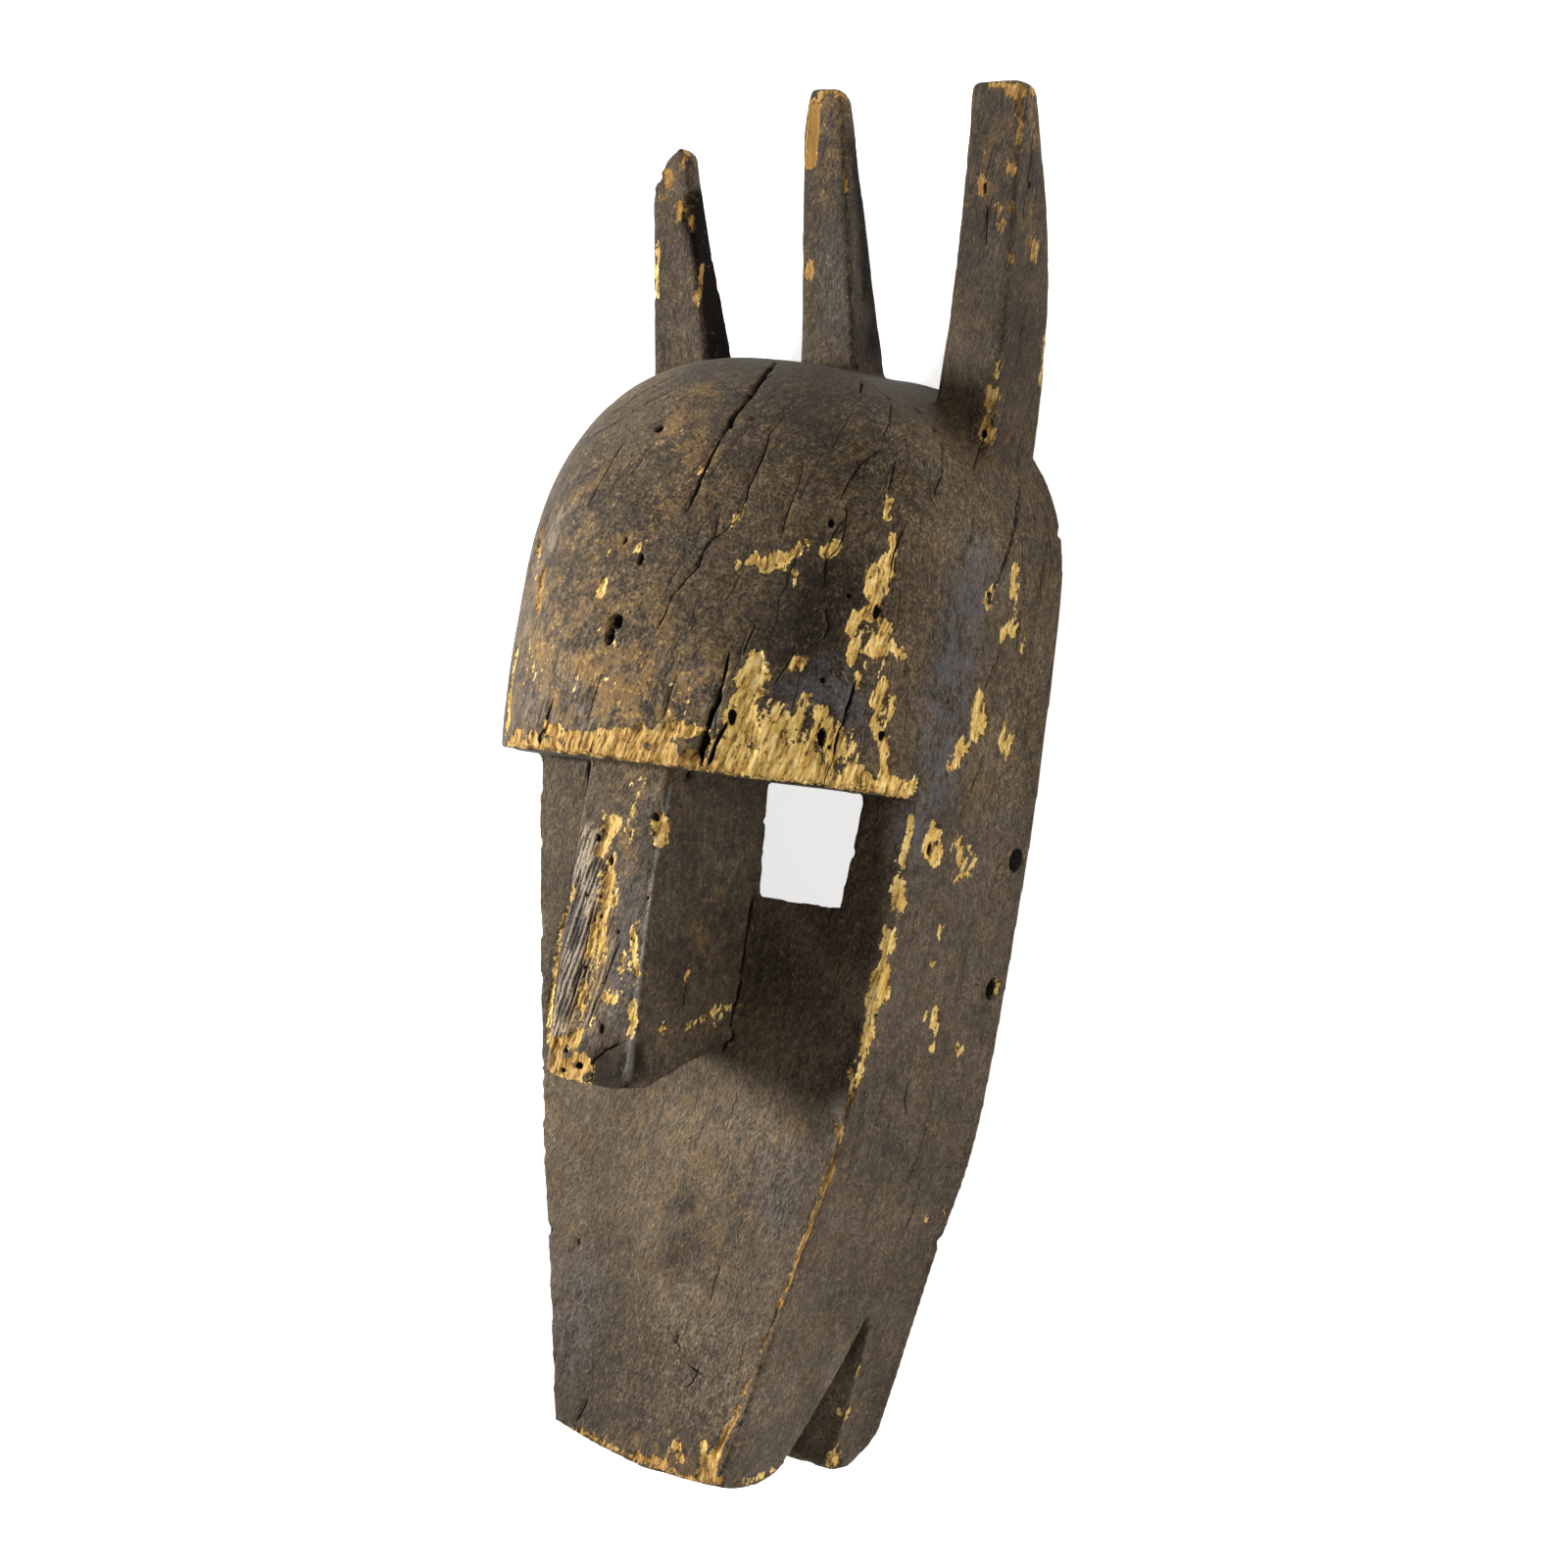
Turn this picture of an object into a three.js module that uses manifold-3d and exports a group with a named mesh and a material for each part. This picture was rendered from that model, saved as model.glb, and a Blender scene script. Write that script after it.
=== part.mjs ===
// A carved wooden face mask of the hyena kind: a domed head with a jutting brow, a flat face plane with two
// square eye holes, a long plank nose, a parted muzzle and jaw, and three horns on the crown. It is carved
// from one block and hollowed from the back, and it lies face up on the flat rim of that hollow.
//
// Millimetres. X runs to the mask's left side, Y from the chin to the horns, Z from the rim to the front.
// While the mask is shaped, y = 0 is the level of the brow's lower edge, and z = 0 is the plane of the rim.
// The finished mask is then slid along Y, so that the origin is under the middle of its box.

import * as THREE from "three";
import { mergeVertices } from "three/addons/utils/BufferGeometryUtils.js";
import Module from "manifold-3d";

const wasm = await Module();
wasm.setup();

// Driving dimensions of the block: seen from the front it is widest at the brow and tapers to the chin. The
// side walls lean a little, so the half width is given at the rim and at the face plane for a few levels.
const HEAD_HALF_WIDTH = 82.7;
const CHIN_BOTTOM = -242;
const CROWN_TOP = 149;
const OUTLINE = {
  levels: [-250, -205, -165, -120, -60, 0, 60, 150],
  rim: [36, 47.8, 57.8, 69.8, 76.4, 80.8, 82.5, 84.2],
  face: [33, 45.3, 55, 65.4, 75.4, 82.4, HEAD_HALF_WIDTH, HEAD_HALF_WIDTH],
};

// The face plane: flat below the brow, curving forward to the chin
const FACE_HEIGHT = 77.5;
const CHIN_HEIGHT = 88;
const FACE_CURVE_TOP = -85;
const FACE_CURVE_POWER = 1.35;

// The dome above the brow. In plan it is straight at the sides and ends in half an ellipse at the front.
// The crown falls a little towards the front and the left.
const BROW_LEVEL = 1;
const BROW_DEPTH = 69;
const BROW_FRONT_RISE = 4;
const BROW_RISE_REACH = 16;
const CROWN_HEIGHT = 58;
const CROWN_FALL = 0.3;
const CROWN_TILT = 0.07;
const CROWN_CAP = 0.15;
const SIDE_ROUND_START = 67;
const SIDE_ROUND_POWER = 2.4;
const FRONT_ROUND_START = 0;
const FRONT_ROUND_POWER = 2.17;

// The open mouth: a wedge across the whole width between muzzle and jaw
const MOUTH = { corner: -180, cornerHeight: 28.5 };

// The rounded ends of muzzle and jaw seen from the side, as the [y, z] controls of a curve. The muzzle runs
// from its lip to the face plane, and the jaw from the rim plane to its lip.
const MUZZLE_ROUND = [
  [-232, 48.5],
  [-244.5, 55],
  [-242.5, 76],
  [-239, 89],
];
const JAW_ROUND = [
  [-226, -1],
  [-239, 3],
  [-248, 16],
  [-240, 22.5],
];

// The chin's lower edge seen from the front, worn away towards the right side
const CHIN_WEAR = { halfWidth: 40, rise: 11.4, power: 1.9 };

// The nose: a plank that stands out from the face plane
const NOSE = {
  middle: -1.8,
  topHalfWidth: 18.4,
  tipHalfWidth: 19.4,
  rootTopHalfWidth: 20.7,
  rootTipHalfWidth: 14.5,
  rootTaperPower: 2.5,
  topHeight: 127,
  tipHeight: 134.5,
  heightPower: 0.75,
  tip: -105.5,
  tipBow: 2.6,
  arris: 2.2,
  embed: 4,
  insideBrow: 12,
};

// The nose seen from the side, from the face along its underside to the tip and round into its front, as
// the [y, z] controls of two curves
const NOSE_UNDERSIDE = [
  [-88, 71.5],
  [-96, 99.5],
  [-100.5, 116.5],
  [NOSE.tip, 129.5],
];
const NOSE_TIP_ROUND = [
  [NOSE.tip, 129.5],
  [-105.8, 132.2],
  [-104, 134.5],
  [-100.5, 136.5],
];

// The eye holes, a little narrower below, cut straight through the face plane close beside the nose. Inner
// distances are from the middle of the nose, outer ones from the middle of the mask.
const EYE = { innerTop: 19.3, innerBottom: 21.3, outerTop: 59.5, outerBottom: 55, bottom: -37.5 };

// The hollow at the back. Its walls are thinnest at the rim, and it ends in a rounded scoop above the mouth.
const HOLLOW = { rimWall: 10, deepWall: 14, faceWall: 5.5, browSlab: 14, bottom: -158, endBow: 18 };
const HOLLOW_CEILING = FACE_HEIGHT - HOLLOW.faceWall;
const SCOOP = [
  [HOLLOW.bottom, -1],
  [HOLLOW.bottom + 3, 43],
  [HOLLOW.bottom + 13, HOLLOW_CEILING],
  [HOLLOW.bottom + 39, HOLLOW_CEILING + 1],
];

// The holes for the strap, drilled through the side walls close to the rim
const STRAP = { diameter: 8, height: 8, levels: [-17.6, -63.5], sides: 14 };

// The horns: rectangular planks that thin and lean forward as they rise. A section is given at the root and
// at the tip. Flare says how much of the change in width comes near the root, and rearBow how late the rear
// face starts to lean forward.
const LEFT_HORN = {
  root: { y: 100, right: 37.2, left: 66.5, rear: 3.5, front: 31.5 },
  tip: { y: 246, right: 59, left: 80.4, rear: 45.5, front: 56.5 },
  flare: 1.5,
  rearBow: 1.88,
  tipRound: 2.6,
};
const MIDDLE_HORN = {
  root: { y: 120, right: -13.8, left: 14, rear: 9.5, front: 35 },
  tip: { y: 244.5, right: -11.4, left: 6.6, rear: 48.5, front: 56.5 },
  flare: 1.2,
  rearBow: 1,
  tipRound: 4.4,
};
const RIGHT_HORN = {
  root: { y: 100, right: -80.4, left: -46, rear: 3.5, front: 31.5 },
  tip: { y: 227, right: -79.2, left: -62, rear: 46.5, front: 53.5 },
  flare: 1.35,
  rearBow: 1,
  tipRound: 1,
};
const HORN_CORNER = 1.6;

// What broke off: the slanted tip of the right horn and a long flake at the edge of the middle one
const RIGHT_HORN_BREAK = { low: [-78.6, 210], high: [-66, 224.6], bulge: 2, edgeFall: [3, -2] };
const FLAKE = { x: -13, height: 54, bottom: 214, top: 250, depth: 2.6, turn: -0.12, lean: 0.5 };

// Cutting shapes reach this far out where only their inner edge matters, and pass the faces they cut by PAST
const FAR = 200;
const PAST = 1;

const WOOD = { color: 0x4a4038, roughness: 0.85, metalness: 0 };

// Half the mask's width at the level y, at the rim and at the face plane, below the round of the crown
function halfWidths(y) {
  const pairs = OUTLINE.levels.flatMap((_, i) => [OUTLINE.rim[i], OUTLINE.face[i]]);
  const [rim, face] = new THREE.CubicInterpolant(OUTLINE.levels, pairs, 2).evaluate(y);
  return { rim, face };
}

// Height of the face plane above the rim at the level y
function faceHeight(y) {
  const t = Math.max(0, (FACE_CURVE_TOP - y) / (FACE_CURVE_TOP - CHIN_BOTTOM));
  return FACE_HEIGHT + (CHIN_HEIGHT - FACE_HEIGHT) * t ** FACE_CURVE_POWER;
}

// How much of its full size a rounded form keeps at the level y, from 1 at its start to 0 at its top
function rounding(y, start, top, power) {
  const t = THREE.MathUtils.clamp((y - start) / (top - start), 0, 1);
  return (1 - t ** power) ** (1 / power);
}

// Evenly spaced numbers from first to last
function steps(first, last, count) {
  return Array.from({ length: count + 1 }, (_, i) => first + ((last - first) * i) / count);
}

// Points along the curve that four controls shape
function curve(controls, count) {
  const bezier = new THREE.CubicBezierCurve(...controls.map(([u, v]) => new THREE.Vector2(u, v)));
  return bezier.getPoints(count).map((p) => [p.x, p.y]);
}

// A closed geometry as a solid that can be joined and cut
function solid(geometry) {
  const bare = geometry.clone();
  bare.deleteAttribute("normal");
  bare.deleteAttribute("uv");
  const merged = mergeVertices(bare, 1e-4);
  return new wasm.Manifold(
    new wasm.Mesh({
      numProp: 3,
      vertProperties: new Float32Array(merged.attributes.position.array),
      triVerts: new Uint32Array(merged.index.array),
    }),
  );
}

// A skin over rings that all have the same number of points, closed by a flat cap at each end. The rings
// follow each other along Y, and each runs once round the same way.
function loft(rings) {
  const count = rings[0].length;
  const positions = rings.flat().flatMap((p) => [p.x, p.y, p.z]);
  const faces = [];
  for (let i = 0; i + 1 < rings.length; i++) {
    for (let j = 0; j < count; j++) {
      const a = i * count + j;
      const b = i * count + ((j + 1) % count);
      faces.push(a, b, a + count, b, b + count, a + count);
    }
  }
  const last = (rings.length - 1) * count;
  for (const [a, b, c] of capFaces(rings[0])) faces.push(a, c, b);
  for (const [a, b, c] of capFaces(rings.at(-1))) faces.push(last + a, last + b, last + c);
  const geometry = new THREE.BufferGeometry();
  geometry.setAttribute("position", new THREE.Float32BufferAttribute(positions, 3));
  geometry.setIndex(faces);
  const made = solid(geometry);
  if (made.volume() > 0) return made;
  geometry.setIndex(faces.reverse());
  return solid(geometry);
}

// Triangles that fill one ring
function capFaces(ring) {
  return THREE.ShapeUtils.triangulateShape(ring.map((p) => new THREE.Vector2(p.x, p.z)), []);
}

// An outline in X and Y, extruded along Z from low to high
function extrudeUp(points, low, high) {
  const shape = new THREE.Shape(points.map(([x, y]) => new THREE.Vector2(x, y)));
  const geometry = new THREE.ExtrudeGeometry(shape, { depth: high - low, bevelEnabled: false });
  return solid(geometry.translate(0, 0, low));
}

// A side profile in Y and Z, extruded along X across the whole mask
function extrudeAcross(points) {
  const shape = new THREE.Shape(points.map(([y, z]) => new THREE.Vector2(y, z)));
  const geometry = new THREE.ExtrudeGeometry(shape, { depth: 2 * FAR, bevelEnabled: false });
  const turn = new THREE.Matrix4().makeBasis(
    new THREE.Vector3(0, 1, 0),
    new THREE.Vector3(0, 0, 1),
    new THREE.Vector3(1, 0, 0),
  );
  return solid(geometry.translate(0, 0, -FAR).applyMatrix4(turn));
}

// One level of the block: straight sides from the rim up to the shoulder, then half an ellipse of the given
// depth, or a straight line where the depth is 0
function section(y, rimHalf, shoulderHalf, shoulder, depth, segments) {
  const front = steps(0, Math.PI, segments).map(
    (a) => new THREE.Vector3(shoulderHalf * Math.cos(a), y, shoulder + depth * Math.sin(a)),
  );
  return [new THREE.Vector3(rimHalf, y, 0), ...front, new THREE.Vector3(-rimHalf, y, 0)];
}

// The face at the level y
function faceSection(y, segments) {
  const { rim, face } = halfWidths(y);
  return section(y, rim, face, faceHeight(y), 0, segments);
}

// The dome at the level y, as far inside its outer surface as the insets say
function domeSection(y, rimInset, deepInset, segments) {
  const side = rounding(y, SIDE_ROUND_START, CROWN_TOP - deepInset, SIDE_ROUND_POWER);
  const front = rounding(y, FRONT_ROUND_START, CROWN_TOP - deepInset, FRONT_ROUND_POWER);
  const { rim, face } = halfWidths(y);
  const shoulder = CROWN_HEIGHT + (FACE_HEIGHT - CROWN_HEIGHT) * front;
  const depth = (BROW_DEPTH - deepInset) * front;
  const ring = section(y, (rim - rimInset) * side, (face - deepInset) * side, shoulder, depth, segments);
  const nearBrow = Math.max(0, 1 - (y - BROW_LEVEL) / BROW_RISE_REACH);
  const nearCrown = (y / CROWN_TOP) ** 3;
  for (const point of ring) {
    const forward = Math.max(0, point.z - shoulder) / BROW_DEPTH;
    const fall = CROWN_FALL * (point.z / CROWN_HEIGHT) + CROWN_TILT * point.x;
    point.y += BROW_FRONT_RISE * forward * nearBrow - fall * nearCrown;
  }
  return ring;
}

// Levels from bottom to top that crowd towards the top of a dome, where it curves most
function domeLevels(bottom, top, count) {
  return steps(0, Math.PI / 2, count).map((a) => bottom + (top - bottom) * Math.sin(a));
}

// Muzzle, face and dome as one skin, with the brow's underside as the step between face and dome
function block() {
  const segments = 36;
  const faceLevels = steps(OUTLINE.levels[0], BROW_LEVEL, 24);
  const browAndDome = domeLevels(BROW_LEVEL, CROWN_TOP - CROWN_CAP, 22);
  return loft([
    ...faceLevels.map((y) => faceSection(y, segments)),
    ...browAndDome.map((y) => domeSection(y, 0, 0, segments)),
  ]);
}

// What is kept of the block seen from the side: the rounded muzzle, the wedge of the mouth, the rounded jaw
function sideProfile() {
  const muzzle = curve(MUZZLE_ROUND, 10);
  return [
    [FAR, -PAST],
    ...curve(JAW_ROUND, 8),
    [MOUTH.corner, MOUTH.cornerHeight],
    ...muzzle,
    [muzzle.at(-1)[0], FAR],
    [FAR, FAR],
  ].reverse();
}

// What is kept of the block seen from the front: all above the worn lower edge of the chin
function frontProfile() {
  const { halfWidth, rise, power } = CHIN_WEAR;
  const edge = steps(-halfWidth, halfWidth, 12).map((x) => {
    const t = (halfWidth - x) / (2 * halfWidth);
    return [x, CHIN_BOTTOM + rise * t ** power];
  });
  return [[-FAR, edge[0][1]], ...edge, [FAR, CHIN_BOTTOM], [FAR, FAR], [-FAR, FAR]];
}

// One level of the nose, widening or narrowing from its root in the face to the arrises of its front
function noseSection(y) {
  const t = THREE.MathUtils.clamp(y / NOSE.tip, 0, 1);
  const root = THREE.MathUtils.lerp(NOSE.rootTopHalfWidth, NOSE.rootTipHalfWidth, t ** NOSE.rootTaperPower);
  const half = THREE.MathUtils.lerp(NOSE.topHalfWidth, NOSE.tipHalfWidth, t);
  const height = THREE.MathUtils.lerp(NOSE.topHeight, NOSE.tipHeight, t ** NOSE.heightPower);
  const low = FACE_HEIGHT - NOSE.embed;
  return [
    [root, low],
    [half, height - NOSE.arris],
    [half - NOSE.arris, height],
    [-half + NOSE.arris, height],
    [-half, height - NOSE.arris],
    [-root, low],
  ].map(([x, z]) => new THREE.Vector3(NOSE.middle + x, y, z));
}

// The nose: one skin from inside the brow to beyond the tip, cut by the slant of its underside and by the
// bow of its tip
function nose() {
  const bar = loft(steps(NOSE.tip - NOSE.insideBrow, NOSE.insideBrow, 12).map(noseSection));
  const side = [
    [FAR, 0],
    [NOSE_UNDERSIDE[0][0], 0],
    ...curve(NOSE_UNDERSIDE, 10),
    ...curve(NOSE_TIP_ROUND, 4).slice(1),
    [NOSE_TIP_ROUND.at(-1)[0], FAR],
    [FAR, FAR],
  ].reverse();
  const reach = 2 * NOSE.tipHalfWidth;
  const tipEdge = steps(-reach, reach, 20).map((x) => {
    return [NOSE.middle + x, NOSE.tip + NOSE.tipBow * (x / NOSE.tipHalfWidth) ** 2];
  });
  const plan = [...tipEdge, [NOSE.middle + reach, FAR], [NOSE.middle - reach, FAR]];
  return bar.intersect(extrudeAcross(side)).intersect(extrudeUp(plan, 0, FAR));
}

// One horn, a skin over rectangles with softened corners that shrink a little at the rounded tip
function horn({ root, tip, flare, rearBow, tipRound }) {
  const length = tip.y - root.y;
  const levels = [
    ...steps(0, 1 - tipRound / length, 12).map((t) => ({ t, inset: 0 })),
    { t: 1 - (0.35 * tipRound) / length, inset: 0.3 * tipRound },
    { t: 1, inset: 0.8 * tipRound },
  ];
  const rings = levels.map(({ t, inset }) => {
    const widthT = 1 - (1 - t) ** flare;
    const right = THREE.MathUtils.lerp(root.right, tip.right, widthT) + inset;
    const left = THREE.MathUtils.lerp(root.left, tip.left, widthT) - inset;
    const thickness = THREE.MathUtils.lerp(root.front - root.rear, tip.front - tip.rear, t);
    const depthInset = Math.min(inset, 0.35 * thickness);
    const rear = THREE.MathUtils.lerp(root.rear, tip.rear, t ** rearBow) + depthInset;
    const front = THREE.MathUtils.lerp(root.front, tip.front, t) - depthInset;
    const y = THREE.MathUtils.lerp(root.y, tip.y, t);
    const corner = Math.min(HORN_CORNER, 0.25 * (front - rear), 0.25 * (left - right));
    return [
      [left, rear + corner],
      [left, front - corner],
      [left - corner, front],
      [right + corner, front],
      [right, front - corner],
      [right, rear + corner],
      [right + corner, rear],
      [left - corner, rear],
    ].map(([x, z]) => new THREE.Vector3(x, y, z));
  });
  return loft(rings);
}

// The middle horn without the flake that split off the edge of its tip
function middleHorn() {
  const flake = new THREE.BoxGeometry(2 * FLAKE.depth, FLAKE.top - FLAKE.bottom, FLAKE.height);
  flake.rotateZ(FLAKE.turn);
  flake.rotateY(FLAKE.lean);
  flake.translate(FLAKE.x, (FLAKE.top + FLAKE.bottom) / 2, FLAKE.height);
  return horn(MIDDLE_HORN).subtract(solid(flake));
}

// The right horn without its broken tip: the break slants across its front and falls off at both edges
function rightHorn() {
  const { low, high, bulge, edgeFall } = RIGHT_HORN_BREAK;
  const [edgeX, edgeY] = [high[0] + edgeFall[0], high[1] + edgeFall[1]];
  const lost = [
    [low[0] - FAR, low[1] - FAR],
    low,
    [(low[0] + high[0]) / 2, (low[1] + high[1]) / 2 + bulge],
    high,
    [edgeX, edgeY],
    [edgeX + FAR, edgeY - FAR],
    [edgeX + FAR, edgeY + FAR],
    [low[0] - FAR, edgeY + FAR],
  ];
  return horn(RIGHT_HORN).subtract(extrudeUp(lost, 0, FAR));
}

// The hollow behind face and dome, as one skin inside that of the block
function hollow() {
  const segments = 24;
  const { rimWall, deepWall, browSlab, bottom, endBow } = HOLLOW;
  const rings = [
    ...steps(bottom - endBow, browSlab, 16).map((y) => {
      const { rim, face } = halfWidths(y);
      return section(y, rim - rimWall, face - deepWall, HOLLOW_CEILING, 0, segments);
    }),
    ...domeLevels(browSlab, CROWN_TOP - deepWall - CROWN_CAP, 14).map((y) => {
      return domeSection(y, rimWall, deepWall, segments);
    }),
  ];
  for (const ring of rings) {
    ring[0].z = -PAST;
    ring.at(-1).z = -PAST;
  }
  const side = [...curve(SCOOP, 10), [FAR, FAR], [FAR, -PAST]].reverse();
  const half = HEAD_HALF_WIDTH;
  const end = steps(-half, half, 16).map((x) => [x, bottom + 4 * endBow * (x / half) ** 2]);
  const plan = [...end, [half, FAR], [-half, FAR]];
  return loft(rings).intersect(extrudeAcross(side)).intersect(extrudeUp(plan, -2 * PAST, FAR));
}

// One eye hole, cut through the face plane into the hollow; side is 1 for the mask's left and -1 for its right
function eyeHole(side) {
  const outline = [
    [NOSE.middle + side * EYE.innerBottom, EYE.bottom],
    [side * EYE.outerBottom, EYE.bottom],
    [side * EYE.outerTop, BROW_LEVEL],
    [NOSE.middle + side * EYE.innerTop, BROW_LEVEL],
  ];
  if (side < 0) outline.reverse();
  return extrudeUp(outline, HOLLOW_CEILING - PAST, FACE_HEIGHT + PAST);
}

// One strap hole through the side wall
function strapHole(side, y) {
  const length = 3 * HOLLOW.rimWall;
  const radius = STRAP.diameter / 2;
  const drill = new THREE.CylinderGeometry(radius, radius, length, STRAP.sides);
  drill.rotateZ(Math.PI / 2);
  drill.translate(side * halfWidths(y).rim, y, STRAP.height);
  return solid(drill);
}

// The whole mask
function mask() {
  let body = block().intersect(extrudeAcross(sideProfile())).intersect(extrudeUp(frontProfile(), -PAST, FAR));
  body = body.add(nose()).add(horn(LEFT_HORN)).add(middleHorn()).add(rightHorn());
  body = body.subtract(hollow());
  for (const side of [1, -1]) {
    body = body.subtract(eyeHole(side));
    for (const level of STRAP.levels) body = body.subtract(strapHole(side, level));
  }
  return body;
}

// A solid as a three.js geometry
function geometryOf(made) {
  const mesh = made.getMesh();
  const geometry = new THREE.BufferGeometry();
  geometry.setAttribute("position", new THREE.BufferAttribute(mesh.vertProperties, 3));
  geometry.setIndex(new THREE.BufferAttribute(mesh.triVerts, 1));
  geometry.computeVertexNormals();
  return geometry;
}

const root = new THREE.Group();
const koreMask = new THREE.Mesh(geometryOf(mask()), new THREE.MeshStandardMaterial(WOOD));
koreMask.name = "kore_mask";
koreMask.geometry.computeBoundingBox();
const box = koreMask.geometry.boundingBox;
koreMask.position.set(-(box.min.x + box.max.x) / 2, -(box.min.y + box.max.y) / 2, -box.min.z);
root.add(koreMask);

export default root;
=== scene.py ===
"""A kore mask of carved wood, weathered and worn, lying face up on a pale floor.

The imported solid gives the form. Its surface is meshed finely here, then cracked, bored, chipped and worn
where the photograph shows it, and by seeded chance on the sides that it hides. One wood material shows the
marks.

Blender's lengths are metres. The wood's own measures are millimetres, and MM turns them into metres.
"""

import itertools
import math

import bmesh
import bpy
import numpy as np
from mathutils import Matrix, Vector
from mathutils.bvhtree import BVHTree
from mathutils.kdtree import KDTree


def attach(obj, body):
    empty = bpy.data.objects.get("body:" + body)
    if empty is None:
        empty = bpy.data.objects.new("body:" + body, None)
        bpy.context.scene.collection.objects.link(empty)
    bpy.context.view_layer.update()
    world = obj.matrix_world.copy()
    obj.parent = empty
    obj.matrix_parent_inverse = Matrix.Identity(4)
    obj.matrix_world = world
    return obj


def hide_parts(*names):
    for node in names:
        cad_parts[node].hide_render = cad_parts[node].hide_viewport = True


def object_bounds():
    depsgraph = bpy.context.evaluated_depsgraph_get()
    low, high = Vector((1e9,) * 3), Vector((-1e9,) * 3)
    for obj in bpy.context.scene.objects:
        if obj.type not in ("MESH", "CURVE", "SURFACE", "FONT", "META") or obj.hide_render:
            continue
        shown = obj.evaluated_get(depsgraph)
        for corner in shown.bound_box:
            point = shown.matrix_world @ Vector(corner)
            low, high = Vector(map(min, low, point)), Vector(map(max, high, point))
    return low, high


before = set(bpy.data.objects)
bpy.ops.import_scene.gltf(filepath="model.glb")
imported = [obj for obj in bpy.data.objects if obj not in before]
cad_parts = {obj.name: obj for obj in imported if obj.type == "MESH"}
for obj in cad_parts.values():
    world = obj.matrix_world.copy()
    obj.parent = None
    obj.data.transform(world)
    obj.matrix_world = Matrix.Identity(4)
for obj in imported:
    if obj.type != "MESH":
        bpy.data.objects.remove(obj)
cad_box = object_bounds()

MM = 0.001
NODE = "kore_mask"
SEED = 20

# The hollow behind the face, in mm: its ceiling under the face, and its ends towards the chin and the crown
HOLLOW_CEILING = 72.5
HOLLOW_END = -160
HOLLOW_CROWN = 137

# Other places, in mm: where the face ends and the domed head begins, where the head ends and the horns begin,
# and how far from the middle the side walls are at least
HEAD_START = 8
HEAD_END = 150
HORN_START = 155
SIDE_WALL = 55

# The photograph's camera: where it stands round the mask, and the focal length of its frame in pixels
CAMERA_TILT = math.radians(36)
CAMERA_RISE = math.radians(2)
CAMERA_ROLL = math.radians(5.75)
CAMERA_DISTANCE = 1.25
CAMERA_TARGET = Vector((0, -0.002, 0.04))
PHOTO_SIZE = 1600
PHOTO_FOCAL = 3592
SENSOR_WIDTH = 36

# Meshing: the even mesh, how finely it is cut near marks, and the most triangles that the piece may have
VOXEL = 1.0
CRACK_CUTS = 2
BARE_CUTS = 1
TRIANGLES = 193000

# The strap holes through the side walls, in mm, as the solid has them
STRAP_LEVELS = (-19.6, -65.5)
STRAP_HEIGHT = 8
STRAP_RADIUS = 4

# The grain runs nearly along the mask, leaning towards +X as it rises towards the crown, in sheets that fan
# out from a pith at this height
GRAIN_LEAN = 0.24
PITH_HEIGHT = 10
PITH_RADIUS = 80

# Ridges that weathering left along the grain of the nose, in mm: their spacing across the grain and depth
COMB_SPACING = 1.15
RIDGE_DEPTH = 0.6

# Other relief, in mm: the adze's hollows, rough places, chips, and the depth at which a hole is fully painted
# in shade
SCOOP_DEPTH = 0.75
ROUGH_DEPTH = 0.3
CHIP_DEPTH = 0.8
HOLE_SHADE_DEPTH = 1.2

# Bare wood is a field of how far inside it each place is, in mm. This is its value far outside
FAR_OUTSIDE = -6.0

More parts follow.
